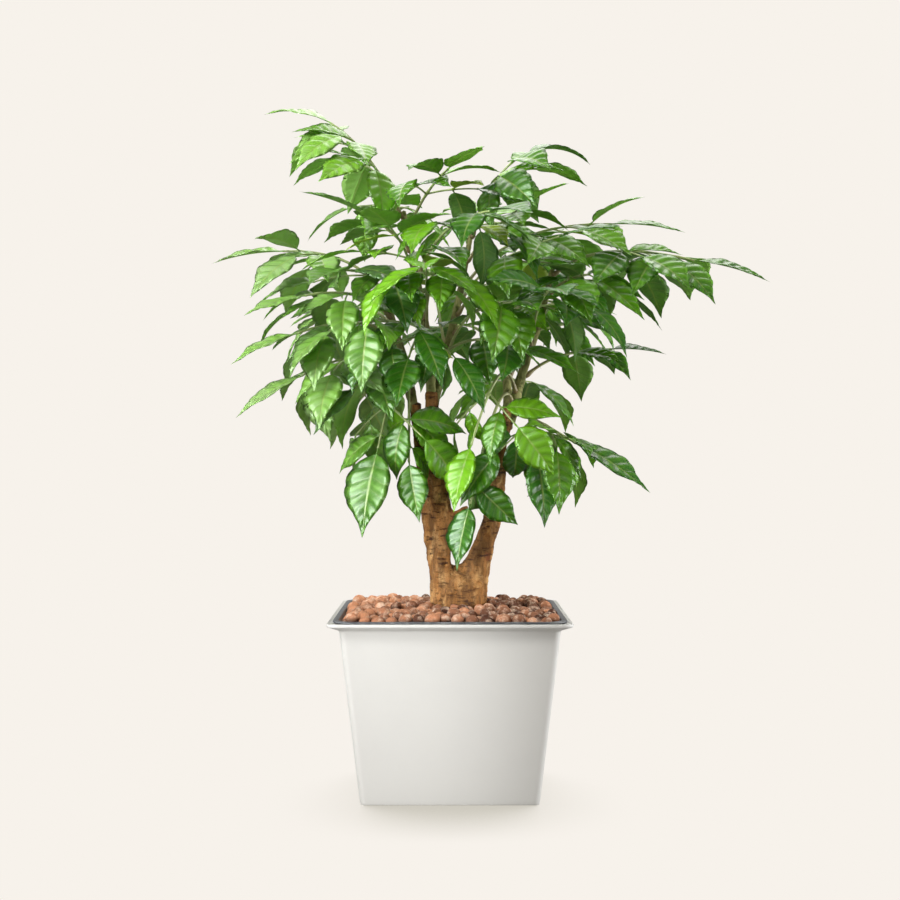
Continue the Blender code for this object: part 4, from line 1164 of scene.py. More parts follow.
def soil_finish():
    """Dark crumbs of potting soil."""
    material, tree, shader = new_finish("potting soil", 0.95)
    crumbs = noise(tree, 260, 6, 0.7)
    shade = spread(tree, crumbs, 0.35, 0.7)
    feed(tree, shader.inputs["Base Color"], mixed(tree, shade, tint(38, 27, 20), tint(92, 68, 50)))
    raised(tree, shader, crumbs, 0.0015)
    return material


def clay_finish(colour):
    """Fired clay: each pebble has its own shade, at random and with a painted shade that darkens
    the pebbles towards +x, with pale dust above, dark pores and a painted shade on its lower side,
    towards the gaps between pebbles."""
    material, tree, shader = new_finish("fired clay", 0.85, Specular_IOR_Level=0.2)
    # The tone mixes dark and pale clay: it is random, plus a painted shade that is darker towards
    # +x.
    brown = mixed(tree, attribute(tree, "tone"), tint(76, 42, 26), colour)
    patches = spread(tree, noise(tree, 150, 5, 0.65), 0.46, 0.68, 0.0, 0.75)
    pale = mixed(tree, patches, brown, tint(240, 208, 182))
    pores = spread(tree, noise(tree, 900, 4, 0.7), 0.28, 0.44)
    pored_clay = mixed(tree, pores, tint(118, 68, 50), pale)
    # Painted shade on each pebble's lower side, towards the gaps between pebbles.
    sunk = maths(tree, "MULTIPLY", attribute(tree, "age"), 0.85)
    clay_with_painted_shade = mixed(tree, sunk, pored_clay, tint(58, 30, 18))
    feed(tree, shader.inputs["Base Color"], clay_with_painted_shade)
    raised(tree, shader, noise(tree, 520, 6, 0.75), 0.0006)
    return material


def bark_finish(colour):
    """Ochre bark: long pale streaks, reddish and dark patches, cross cracks and fine dark pits. The
    young wood is greener."""
    material, tree, shader = new_finish("ochre bark", 0.75, Specular_IOR_Level=0.2)
    streaks = spread(tree, noise(tree, 150, 6, 0.65, (1, 1, 0.2)), 0.36, 0.66)
    dark = tuple(channel * 0.40 for channel in colour)
    wood = mixed(tree, streaks, dark, colour)
    pale = spread(tree, noise(tree, 70, 4, 0.6, (1, 1, 0.5)), 0.48, 0.72, 0.0, 0.85)
    wood = mixed(tree, pale, wood, tint(224, 178, 116))
    red = spread(tree, noise(tree, 48, 3, 0.6), 0.56, 0.72, 0.0, 0.7)
    wood = mixed(tree, red, wood, tint(122, 62, 34))
    cracks = spread(tree, noise(tree, 230, 5, 0.65, (0.35, 0.35, 1.5)), 0.32, 0.46)
    wood = mixed(tree, cracks, tint(74, 46, 26), wood)
    pits = spread(tree, noise(tree, 620, 3, 0.7), 0.30, 0.42)
    wood = mixed(tree, pits, tint(62, 36, 20), wood)
    green = mixed(tree, streaks, tint(96, 100, 52), tint(158, 156, 100))
    wood = mixed(tree, attribute(tree, "age"), wood, green)
    feed(tree, shader.inputs["Base Color"], wood)
    height = maths(tree, "ADD", maths(tree, "MULTIPLY", streaks, 0.8), cracks)
    height = maths(tree, "ADD", height, maths(tree, "MULTIPLY", pits, 0.4))
    raised(tree, shader, height, 0.0008)
    return material


def vein_mask(tree, veins, width):
    """Three values: 1 on the midrib, 1 on the side veins, and a third that is 0 on the side veins
    and 1 midway between them. The map's second value counts the side veins, and its first runs
    from margin to margin."""
    across, along, _ = put(tree, "SeparateXYZ", Vector=put(tree, "UVMap").outputs["UV"]).outputs
    off_rib = off_middle(tree, across)
    strayed = centred(tree, noise(tree, 90, 2), 0.5)
    count = maths(tree, "MULTIPLY", along, float(veins))
    phase = maths(tree, "FRACT", maths(tree, "ADD", count, strayed))
    nearness = off_middle(tree, phase)
    side = spread(tree, nearness, 1 - width, 1.0)
    side = maths(tree, "MULTIPLY", side, spread(tree, off_rib, 0.75, 1.0, 1.0, 0.0))
    rib = spread(tree, off_rib, 0.02, 0.09, 1.0, 0.0)
    panel = spread(tree, nearness, 0.0, 1.0, 1.0, 0.0)
    return rib, side, panel


def leaf_finish(name, light, dark, vein, veins, roughness, vein_share, gloss, through):
    """A leaf's surface: two greens by the leaflet's own tone, which is partly painted light, and
    yellow for the youngest, a painted highlight on the panels between the side veins with painted
    shade along the veins, a painted pale sheen on the lit left side, a paler midrib and side veins,
    a fine net, gloss and some light from behind."""
    material, tree, shader = new_finish(name, roughness, Coat_Weight=gloss, Coat_Roughness=0.22)
    # The leaflet's tone is partly painted light: leaflets to the left are lighter.
    own = attribute(tree, "tone")
    patches = noise(tree, 60, 4, 0.6)
    rib, side, panel = vein_mask(tree, veins, 0.20)
    share = maths(tree, "ADD", own, centred(tree, patches, 0.8))
    # Painted highlight midway between side veins, and painted shade along them, where the blade
    # sinks.
    share = maths(tree, "ADD", share, centred(tree, panel, 0.18), clamp=True)
    green = mixed(tree, share, dark, light)
    green = mixed(tree, spread(tree, own, 1.0, 1.5), green, tint(176, 196, 62))
    # A painted pale sheen in patches on the leaflets of the lit left side.
    patchy = spread(tree, patches, 0.3, 0.7, 0.25, 0.75)
    painted_sheen = maths(tree, "MULTIPLY", attribute(tree, "age"), patchy)
    green = mixed(tree, painted_sheen, green, tint(188, 206, 168))
    line = maths(tree, "MAXIMUM", rib, maths(tree, "MULTIPLY", side, 0.40))
    green = mixed(tree, maths(tree, "MULTIPLY", line, vein_share), green, vein)
    green = mixed(tree, spread(tree, cell_edges(tree, 420), 0.0, 0.16, 0.10, 0.0), green, vein)
    feed(tree, shader.inputs["Base Color"], green)
    duller = spread(tree, patches, 0.3, 0.7, roughness - 0.06, roughness + 0.08)
    feed(tree, shader.inputs["Roughness"], duller)
    grain = maths(tree, "MULTIPLY", noise(tree, 240, 2), 0.10)
    height = maths(tree, "ADD", grain, maths(tree, "MULTIPLY", panel, 0.5))
    height = maths(tree, "SUBTRACT", height, maths(tree, "MULTIPLY", line, 0.35))
    normal = raised(tree, shader, height, 0.0005)
    bright = mixed(tree, 0.5, green, tint(176, 216, 30))
    behind = put(tree, "BsdfTranslucent", Color=bright, Normal=normal)
    both = tree.nodes.new("ShaderNodeMixShader")
    both.inputs["Fac"].default_value = through
    tree.links.new(shader.outputs["BSDF"], both.inputs[1])
    tree.links.new(behind.outputs["BSDF"], both.inputs[2])
    tree.links.new(both.outputs["Shader"], tree.nodes["Material Output"].inputs["Surface"])
    return material


def stalk_finish():
    """Leaf stalks: pale green, browner towards the wood."""
    material, tree, shader = new_finish("green stalk", 0.45)
    streaks = noise(tree, 160, 4, 0.6, (1, 1, 0.4))
    green = mixed(tree, streaks, tint(128, 152, 76), tint(190, 204, 138))
    green = mixed(tree, attribute(tree, "age"), green, tint(122, 104, 66))
    feed(tree, shader.inputs["Base Color"], green)
    raised(tree, shader, noise(tree, 420, 3, 0.6, (1, 1, 0.3)), 0.0002)
    return material


# Pots, soil and pebbles


def rounded_squares(widths, corners, heights):
    """Rings of rounded squares: a quarter turn of corner arc at each corner, which turns by the
    right-hand rule about +Z. Shape (rows, points, 3)."""
    widths, corners, heights = (np.asarray(v, float)[:, None] for v in (widths, corners, heights))
    quarter = np.repeat(np.arange(4), CORNER_POINTS)
    turn = quarter * math.pi / 2 + np.tile(np.linspace(0, math.pi / 2, CORNER_POINTS), 4)
    sign_x = np.where((quarter == 0) | (quarter == 3), 1, -1)
    sign_y = np.where(quarter < 2, 1, -1)
    reach = widths / 2 - corners
    x = reach * sign_x + corners * np.cos(turn)
    y = reach * sign_y + corners * np.sin(turn)
    return np.stack([x, y, np.broadcast_to(heights, x.shape)], axis=-1)


def edge_arc(centre, radius, start, stop, points=6):
    """Points of width and height along an arc, with the angles in degrees. A width grows by twice
    the distance, because it is measured from side to side."""
    turn = np.radians(np.linspace(start, stop, points))
    return list(zip(centre[0] + 2 * radius * np.cos(turn), centre[1] + radius * np.sin(turn)))


def vessel(profile, corner_of):
    """A closed skin of rounded squares along a profile of widths and heights, from the middle of
    its underside to the middle of its floor, as rings and end points."""
    widths, heights = np.array(profile).T
    rings = rounded_squares(widths, [corner_of(w, z) for w, z in profile], heights)
    return rings[None], np.array([0, 0, heights[0]]), np.array([0, 0, heights[-1]])


def pot_inside(z):
    """Inner width of the white pot at height z: a taper, and a wider mouth above it."""
    mouth = POT_HEIGHT - MOUTH_DEPTH
    share = min(z, mouth) / (POT_HEIGHT - RIM_DEPTH)
    tapered = POT_BASE + (POT_TOP - POT_BASE) * share - 2 * POT_WALL
    return tapered + (MOUTH_WIDTH - tapered) * max(0.0, z - mouth) / MOUTH_DEPTH


def build_pot(settings):
    """White pot: foot arc, tapered wall, hollow fillet under the rim, rolled rim and inner wall."""
    rim_foot = POT_HEIGHT - RIM_DEPTH
    mouth = POT_HEIGHT - MOUTH_DEPTH
    soft = settings.edge
    slope = (POT_TOP - POT_BASE) / rim_foot
    rolled = RIM_WIDTH - 2 * RIM_ROLL
    profile = [(POT_BASE - FLAT_MARGIN, 0.0)]
    profile += edge_arc((POT_BASE - 2 * soft, soft), soft, -90, -6)
    profile += [(POT_BASE + slope * z, z) for z in np.linspace(0.004, rim_foot - 0.0015, 12)]
    hollow = (POT_TOP + HOLLOW_OUT, rim_foot - HOLLOW_DOWN)
    profile += edge_arc(hollow, HOLLOW_RADIUS, 174, 100)
    profile += edge_arc((rolled, POT_HEIGHT - RIM_EDGE), RIM_ROLL, -80, 0, 4)
    profile += edge_arc((rolled, POT_HEIGHT + RIM_BEAD - RIM_ROLL), RIM_ROLL, 0, 130)
    profile += [(RIM_WIDTH - inside, POT_HEIGHT) for inside in BEAD_INSIDE]
    inner = pot_inside(POT_HEIGHT) + 2 * MOUTH_EDGE
    profile += edge_arc((inner, POT_HEIGHT - MOUTH_EDGE), MOUTH_EDGE, 90, 180, 4)
    profile += [(pot_inside(z), z) for z in np.linspace(mouth, POT_FLOOR + 0.002, 6)]
    profile += [(pot_inside(POT_FLOOR) - 0.004, POT_FLOOR)]

    def corner_of(width, z):
        """Corner radius: larger towards the rim's edge, and smaller on the inner wall."""
        if z > rim_foot and width > POT_TOP + FLARE_START:
            share = (width - POT_TOP) / (RIM_WIDTH - POT_TOP)
            return POT_CORNER + (RIM_CORNER - POT_CORNER) * share
        inside = width < POT_BASE + slope * z - SKIN_MARGIN
        return POT_CORNER - POT_WALL / 2 if inside else POT_CORNER

    piece = Piece()
    piece.add(*vessel(profile, corner_of))
    mesh = piece.mesh("white_pot", [pot_finish(tuple(settings.colour))])
    place("white_pot", mesh, "white_pot", "pot")


def build_grow_pot(settings):
    """Grow pot: a thin tapered shell whose lip is rolled over the white pot's rim."""
    foot = POT_FLOOR + FIT
    mouth = POT_HEIGHT - MOUTH_DEPTH
    seat = POT_HEIGHT + FIT
    base, waist, top = (pot_inside(z) - 2 * LINER_PLAY for z in (foot, mouth, POT_HEIGHT))
    roll = LIP_HEIGHT / 2
    profile = [(base - FLAT_MARGIN, foot), (base - 0.002, foot)]
    profile += [(base - 0.0002, foot + LINER_BEVEL), (waist, mouth)]
    profile += [(top, POT_HEIGHT), (top + 0.0006, seat)]
    profile += edge_arc((LIP_WIDTH - 2 * roll, seat + roll), roll, -90, 90, 8)
    edge = (top - 2 * LINER_WALL + LIP_INSIDE, seat + LIP_HEIGHT - LIP_EDGE)
    profile += edge_arc(edge, LIP_EDGE, 90, 165, 5)
    profile += [(top - 2 * LINER_WALL, POT_HEIGHT), (waist - 2 * LINER_WALL, mouth)]
    profile += [(base - 2 * LINER_WALL + 0.0002, foot + LINER_WALL)]

    def corner_of(width, z):
        """Corner radius: smaller on the floor inside."""
        inside = width < base and z > foot + SKIN_MARGIN
        return LINER_CORNER - LINER_WALL if inside else LINER_CORNER

    piece = Piece()
    piece.add(*vessel(profile, corner_of))
    mesh = piece.mesh("lipped_grow_pot", [grow_pot_finish(tuple(settings.colour))])
    place("lipped_grow_pot", mesh, "grow_pot", "grow_pot")


def finish_soil():
    """The block of soil keeps its solid, under the pebbles."""
    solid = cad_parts["soil"]
    solid.data.materials.clear()
    solid.data.materials.append(soil_finish())


def kept_inside(flat, radii, half, corner):
    """Middle points pulled in so that no pebble reaches past a rounded square of this half
    width."""
    room = (half - radii)[:, None]
    flat = np.clip(flat, -room, room)
    bend = (corner - radii)[:, None]
    over = np.clip(np.abs(flat) - (room - bend), 0, None)
    length = np.linalg.norm(over, axis=1, keepdims=True)
    pull = over * (1 - bend / np.maximum(length, bend))
    return flat - np.sign(flat) * pull


def pebble_layer(radii_range, half, draw):
    """Middle points and radii of one layer of pebbles in a rounded square, round the bole:
    staggered rows, jittered and then pushed apart until they hardly touch."""
    pitch = sum(radii_range)
    steps, rows = int(2 * half / pitch), int(2 * half / (pitch * ROW_SHARE))
    x, y = np.meshgrid(np.linspace(-half, half, steps), np.linspace(-half, half, rows))
    x[1::2] += pitch / 2
    flat = np.stack([x.ravel(), y.ravel()], axis=-1)
    flat += draw.uniform(-ROW_STRAY, ROW_STRAY, flat.shape) * pitch
    radii = draw.uniform(*radii_range, len(flat))
    x0, y0, _, bole = STEMS["bole"][3]
    middle, squash = np.array([x0, y0]), np.array([1.0, BOLE_FLATNESS])
    for _ in range(PUSH_ROUNDS):
        gap = flat[:, None] - flat[None]
        apart = np.linalg.norm(gap, axis=-1) + np.eye(len(flat))
        push = np.clip(PUSH_REACH * (radii[:, None] + radii[None]) - apart, 0, None) / apart
        np.fill_diagonal(push, 0)
        flat += PUSH_SHARE * (gap * push[..., None]).sum(axis=1)
        off = (flat - middle) / squash
        length = np.linalg.norm(off, axis=1, keepdims=True)
        least = bole + BOLE_REACH * radii[:, None]
        flat = middle + off * np.maximum(1, least / length) * squash
        flat = kept_inside(flat, radii * WALL_REACH, half, LINER_CORNER - LINER_WALL)
    return flat, radii


def pebble_ovals(centres, radii, draw, rows, columns):
    """Lumpy ovals: points of a ball, scaled along three axes and by 1 plus a sum of sines of the
    direction, and turned at random. Gives rings and end points."""
    count = len(centres)
    polar = np.linspace(0, math.pi, rows + 2)[1:-1]
    turn = 2 * math.pi * np.arange(columns) / columns
    out = np.sin(polar)
    ball = [np.outer(out, np.cos(turn)), np.outer(out, np.sin(turn))]
    ball = np.stack([*ball, np.outer(-np.cos(polar), np.ones(columns))], axis=-1)
    whole = np.concatenate([ball.reshape(-1, 3), [[0, 0, -1], [0, 0, 1]]])
    waves = draw.normal(size=(count, LUMPS, 3)) * LUMP_WAVES
    phases = draw.uniform(0, 6.3, (count, 1, LUMPS))
    lumps = np.sin(np.einsum("pj,cwj->cpw", whole, waves) + phases).sum(axis=-1)
    scale = draw.uniform(*OVALS, (count, 3))
    points = whole[None] * scale[:, None] * (1 + LUMP_HEIGHT * lumps)[..., None]
    turns = np.linalg.qr(draw.normal(size=(count, 3, 3)))[0]
    turns *= np.sign(np.linalg.det(turns))[:, None, None]
    points = np.einsum("cpj,cij->cpi", points, turns) * radii[:, None, None] + centres[:, None]
    size = rows * columns
    return points[:, :size].reshape(count, rows, columns, 3), points[:, size], points[:, size + 1]


def build_pebbles(settings):
    """Clay pebbles round the bole: small ones below that close the gaps, and large ones heaped on
    them, higher in the middle. A painted shade darkens a pebble from 0.45 to 1.25 of its radius
    below its top, towards the gaps between pebbles, and their tone has a painted shade towards +x."""
    draw = np.random.default_rng(PEBBLE_SEED)
    play = LINER_PLAY + LINER_WALL
    large = PEBBLE_RADII * settings.size
    piece = Piece()
    for radii_range, height, top, rows, columns in (
        (LOWER_SIZE * large, PEBBLE_FLOOR, LOWER_TOP, 5, 8),
        (large, POT_HEIGHT, UPPER_TOP, 8, 14),
    ):
        half = pot_inside(height) / 2 - play
        flat, radii = pebble_layer(radii_range, half, draw)
        near = 1 - np.clip(np.linalg.norm(flat, axis=1) / half, 0, 1) ** 2
        tops = PEBBLE_TOP + top + MOUND_SHARE * MOUND * near
        tops = tops + draw.uniform(-TOP_STRAY, TOP_STRAY, len(flat))
        centres = np.column_stack([flat, tops - radii])
        # The tone is random, plus a painted shade that darkens the pebbles towards +x, away from
        # the lamps.
        shade = draw.normal(*PEBBLE_SHADE, len(flat)) + PAINTED_SHADE_BY_X * flat[:, 0]
        ovals, bottoms, crowns = pebble_ovals(centres, radii, draw, rows, columns)
        radii = radii[:, None, None]
        # Painted shade: each pebble darkens on its lower side, towards the gaps between pebbles.
        depth = centres[:, 2, None, None] + radii - ovals[..., 2]
        sunk = eased(depth, 0.45 * radii, 1.25 * radii)
        piece.add(ovals, bottoms, crowns, tone=np.clip(shade, 0, 1.2), age=sunk)
    mesh = piece.mesh("pebbles", [clay_finish(tuple(settings.colour))])
    place("pebbles", mesh, "clay", "clay_pebbles")


# Wood


def wood_line(name):
    """A stem's middle line in short steps, widened at rings where old leaves stood, except in the
    bole."""
    line = smooth_line({**STEMS, **SHOOTS}[name], WOOD_STEP)
    walked = np.concatenate([[0], np.cumsum(np.linalg.norm(np.diff(line[:, :3], axis=0), axis=1))])
    distance, wider = SHOOT_RINGS if name in SHOOTS else STEM_RINGS
    if name != "bole":
        off_ring = (walked / distance) % 1 - 0.5
        line[:, 3] *= 1 + wider * np.exp(-(off_ring**2) / RING_SOFTNESS)
    return line


def wood_skin(piece, name, sides, age=0.0):
    """Adds a stem or a shoot to a piece, with a short blunt tip."""
    line = wood_line(name)
    reach = line[-1, :3] - line[-2, :3]
    tip = line[-1, :3] + unit(reach) * line[-1, 3] * 0.6
    piece.add(tube_rings(line, sides, flatness_of(name))[None], line[0, :3], tip, age=age)


def read_rows(items, label, size, columns, kind):
    """One value or vector of each item of a mesh, size numbers to an item, in rows of this many
    columns."""
    values = np.empty(len(items) * size, kind)
    items.foreach_get(label, values)
    return values.reshape(-1, columns)


def mesh_arrays(mesh):
    """Points, their normals and the four-sided faces of a mesh."""
    points = read_rows(mesh.vertices, "co", 3, 3, np.float32).astype(float)
    normals = read_rows(mesh.vertex_normals, "vector", 3, 3, np.float32).astype(float)
    return points, normals, read_rows(mesh.loops, "vertex_index", 1, 4, np.int32)


def one_body(mesh, rounds):
    """The mesh made one skin by voxels and softened."""
    helper = bpy.data.objects.new("voxels", mesh)
    bpy.context.scene.collection.objects.link(helper)
    remesh = helper.modifiers.new("one body", "REMESH")
    remesh.mode = "VOXEL"
    remesh.voxel_size = WOOD_VOXEL
    soften = helper.modifiers.new("soft joins", "SMOOTH")
    soften.factor = 0.5
    soften.iterations = rounds
    graph = bpy.context.evaluated_depsgraph_get()
    made = bpy.data.meshes.new_from_object(helper.evaluated_get(graph))
    bpy.data.objects.remove(helper)
    return made


def grown_together(piece):
    """The stems' skins made one body. It is swollen and shrunk again by the same depth, which fills
    the creases between stems."""
    mesh = one_body(piece.mesh("stems", []), 2)
    for depth, rounds in ((CREASE_FILL, 4), (-CREASE_FILL, 6)):
        points, normals, _ = mesh_arrays(mesh)
        mesh.vertices.foreach_set("co", (points + normals * depth).astype(np.float32).ravel())
        mesh.update()
        mesh = one_body(mesh, rounds)
    return mesh


def bark_relief(points, depth):
    """How far bark stands out at these points: a sum of ripples, each of its own size, and knots,
    which are a rim round a pit."""
    height = np.zeros(len(points))
    for number, (size, stretch, waves, share) in enumerate(BARK_RIPPLES):
        height += depth * share * ripple(points, size, stretch, BARK_SEED + number, waves)
    for x, y, z, size in KNOTS:
        away = np.linalg.norm((points - (x, y, z)) / (size, size, 0.8 * size), axis=-1)
        height += KNOT_RISE * np.exp(-((away - 0.9) ** 2) / 0.12)
        height -= KNOT_DEPTH * np.exp(-(away**2) / 0.25)
    return height


def build_wood(settings):
    """Bole, stems and cut twig grown into one body, with the young shoots set into it."""
    stems = Piece()
    for name in STEMS:
        wood_skin(stems, name, WOOD_SIDES)
    points, normals, quads = mesh_arrays(grown_together(stems))
    points += normals * bark_relief(points, settings.relief)[:, None]
    wood = Piece()
    wood.add_faces(points, quads)
    for name in SHOOTS:
        wood_skin(wood, name, SHOOT_SKIN_SIDES, age=1.0)
    bark = bark_finish(tuple(settings.colour))
    place("forked_wood", wood.mesh("forked_wood", [bark]), "bark", "trunk")


# Leaves


def blade_grid(veins):
    """Shares along a leaflet and places across it: rows that follow the side veins, and columns
    from the right margin under the blade to the left and back above. The third array is -1 below,
    1 above and 0 on the margins."""
    rows = np.arange(veins * VEIN_ROWS) / (veins * VEIN_ROWS)
    half = np.array(BLADE_COLUMNS)
    below = np.concatenate([half[::-1], -half[1:]])
    above = below[::-1][1:-1]
    across = np.concatenate([below, above])
    face = np.concatenate([[0], np.full(len(below) - 2, -1), [0], np.full(len(above), 1)])
    return rows, across, face


def blade_rings(leaves, settings, draw):
    """Rings round leaflets, of shape (count, rows, columns, 3), their end points and their map.

    A point at share t of the length and s of the half width lies on the midrib's arc, plus s times
    the half width to the side, plus a lift: the fold's slope, a bulge between side veins, a wave
    that grows to the margin, and half the thickness above or below. Rows lean forward towards the
    margin, so that they run along the side veins. The leaf's foot is round, and its radius fades
    up the rib."""
    at, along, up, length, width, bend, fold = (
        np.array([leaf[key] for leaf in leaves], float)[:, None, None]
        for key in ("at", "along", "up", "length", "width", "bend", "fold")
    )
    v, across, face = blade_grid(settings.veins)
    foot = np.array(FOOT_SHARES)[:, None]
    s = np.abs(across)[None]
    lean = settings.vein_lean * s * v[:, None] * (1 - v[:, None])
    t = BARE_SHARE + (1 - BARE_SHARE) * (v[:, None] + lean)
    t = np.vstack([np.broadcast_to(foot, (len(foot), len(across))), t])
    v = np.concatenate([np.zeros(len(foot)), v])[:, None]
    line = (at, along, up, length[..., None], bend[..., None])
    rib, _, normal = bent(*line, t[..., None])
    starts, tips = (bent(*line, end)[0][:, 0, 0] for end in (FOOT_START, 1.0))
    between = np.abs(np.sin(np.pi * settings.veins * v))
    scallop = 1 + settings.scallop * (between - 0.5) * s**4
    half = half_width(t)[None] * width * scallop
    flare = RIB_FLARE * np.exp(-((t / RIB_FLARE_REACH) ** 2))
    radius = (RIB_RADIUS + flare) * np.clip(1.08 - t, 0.12, 1)
    x = across * np.hypot(half, radius)
    opened = eased(half, *OPENING)
    phases = draw.uniform(0, 2 * np.pi, (2, len(leaves), 1, 1))
    phase = 2 * np.pi * MARGIN_WAVES * t + np.where(across > 0, phases[0], phases[1])
    wave = draw.uniform(*WAVE_HEIGHTS, (len(leaves), 1, 1)) * settings.wave * s**2 * np.sin(phase)
    bulge = settings.quilting * (between**0.8 - 0.35) * eased(s, 0.02, 0.30) * (1 - 0.75 * s**3)
    fade = eased(v, 0.0, 0.12) * eased(v, 1.0, 0.80)
    lift = np.abs(x) * np.tan(fold) * opened
    lift = lift + (wave + bulge * length / MODEL_LENGTH) * fade * opened
    lift = lift - settings.droop * (half / MODEL_HALF_WIDTH) * s**2 * opened
    ribbed = radius * np.sqrt(np.clip(1 - (x / radius) ** 2, 0, 1))
    blade = settings.thickness / 2 * np.sqrt(1 - s**6) * opened
    sunk = GROOVE_DEPTH * np.exp(-((x / GROOVE_WIDTH) ** 2)) * opened
    above = ribbed * (1 - opened) + blade - sunk
    below = ribbed * (1 - 0.25 * opened) + blade
    lift = lift + np.where(face > 0, above, np.where(face < 0, -below, 0))
    rings = rib + np.cross(along, up) * x[..., None] + normal * lift[..., None]
    uv = np.stack(np.broadcast_arrays((across + 1) / 2, v), axis=-1)
    return rings, starts, tips, uv, face


def round_stalk(points, level, radii, sides):
    """Rings round a stalk's middle line, turned by the right-hand rule about its direction."""
    along = unit(np.gradient(points, axis=0))
    up = upper_sides(points, level)
    side = np.cross(along, up)
    turn = 2 * np.pi * np.arange(sides) / sides
    around = np.cos(turn)[None, :, None] * side[:, None] - np.sin(turn)[None, :, None] * up[:, None]
    return (points[:, None] + radii[:, None, None] * around)[None]


def swollen(places, joint, height, reach):
    """How much a joint widens a stalk at these places: the height times e to the power of minus
    the square of the distance by the reach."""
    return height * np.exp(-(((places - joint) / reach) ** 2))


def branches(stalk):
    """The side stalks of a leaf that found a place."""
    return [grown for grown in stalk["side"].values() if grown is not None and "arc" in grown]


def add_stalks(piece, stalk):
    """The main stalk with a swollen foot and joints, and its side stalks."""
    bare = stalk["bare"]
    lengths = np.linspace(0, bare, STALK_ROWS)
    points = along_curve(stalk["curve"], lengths)
    points[0] -= stalk["out"] * FOOT_DEPTH
    shape = [*STALK_SHAPE, (0.1 * bare, STALK_RADIUS), (bare, STALK_TIP)]
    radii = np.interp(lengths, *zip(*shape))
    for joint in stalk["joint_lengths"]:
        radii += swollen(lengths, joint, *SWELLING)
    radii[-1] += TIP_SWELLING
    rings = round_stalk(points, stalk["level"], radii, STALK_SIDES)
    age = np.interp(lengths, *zip(*STALK_AGES))[None, :, None]
    piece.add(rings, points[0], points[-1] + stalk["heading"] * STALK_POINT, age=age, finish=2)
    for branch in branches(stalk):
        line = branch["arc"]
        shares = np.linspace(FORK_SHAPE[0][0], 1, FORK_ROWS)
        points = midrib(line, shares)[0]
        radii = np.interp(shares, *zip(*FORK_SHAPE))
        radii += swollen(shares, FORK_JOINT, *FORK_SWELLING)
        level = unit(np.cross(line["along"], line["up"]))
        rings = round_stalk(points, level, radii, STALK_SIDES - 1)
        piece.add(rings, points[0], points[-1] + branch["heading"] * FORK_POINT, finish=2)


def leaflets_of(stalk):
    """All leaflets of a leaf that found a place."""
    found = [stalk["end"]]
    for grown in stalk["side"].values():
        if grown is not None and "arc" in grown:
            found += [grown["end"], *grown["side"].values()]
        else:
            found.append(grown)
    return [leaf for leaf in found if leaf is not None]


def leaf_tones(leaves, draw):
    """How light each leaflet's green is: lighter to the left, which is painted light from the lit
    side, lighter at the top, and varied at random."""
    at = np.array([leaf["at"] for leaf in leaves])
    # Painted light: leaflets to the left are lighter, as on the lit side.
    base = TONE + PAINTED_LIGHT_BY_X * at[:, 0] + TONE_BY_HEIGHT * (at[:, 2] - TONE_LEVEL)
    base = base + draw.normal(0, TONE_OF_LEAF)
    tone = np.clip(base + draw.normal(0, TONE_OF_LEAFLET, len(leaves)), 0.0, 1)
    small = np.array([leaf["length"] for leaf in leaves]) < YOUNG_LENGTH
    return np.where(small & (draw.random(len(leaves)) < YOUNG_SHARE), YOUNG_TONE, tone)


def blended(first, second, share):
    """A colour between two: this share of the first, and the rest of the second."""
    return tuple(share * a + (1 - share) * b for a, b in zip(first, second))


def build_leaves(settings):
    """Every compound leaf as one piece: its stalks and its veined leaflets."""
    colours = (settings.light_green, settings.dark_green, settings.vein_green)
    light, dark, vein = (tuple(colour) for colour in colours)
    pale = blended(light, tint(150, 178, 110), 0.6)
    duller = blended(dark, tint(104, 140, 74), 0.5)
    upper = {"roughness": 0.36, "vein_share": 0.50, "gloss": 0.32, "through": 0.32}
    lower = {"roughness": 0.55, "vein_share": 0.60, "gloss": 0.0, "through": 0.30}
    finishes = [
        leaf_finish("leaf upper side", light, dark, vein, settings.veins, **upper),
        leaf_finish("leaf underside", pale, duller, vein, settings.veins, **lower),
        stalk_finish(),
    ]
    for number, stalk in enumerate(plan_leaves(), 1):
        draw = np.random.default_rng(BLADE_SEED + number)
        piece = Piece()
        add_stalks(piece, stalk)
        leaves = leaflets_of(stalk)
        if leaves:
            rings, starts, tips, uv, face = blade_rings(leaves, settings, draw)
            under = np.arange(len(face)) < 2 * len(BLADE_COLUMNS) - 2
            tone = leaf_tones(leaves, draw)
            # A painted pale sheen on the leaflets to the left, the lit side.
            painted_sheen = eased(-np.array([leaf["at"][0] for leaf in leaves]), *PAINTED_SHEEN)[:, None, None]
            piece.add(rings, starts, tips, uv, tone=tone, age=painted_sheen, finish=np.where(under, 1, 0))
        mesh = piece.mesh(f"compound_leaf_{number:02d}", finishes)
        place(f"compound_leaf_{number:02d}", mesh, "leaf", f"leaf_{number:02d}")


# Stage

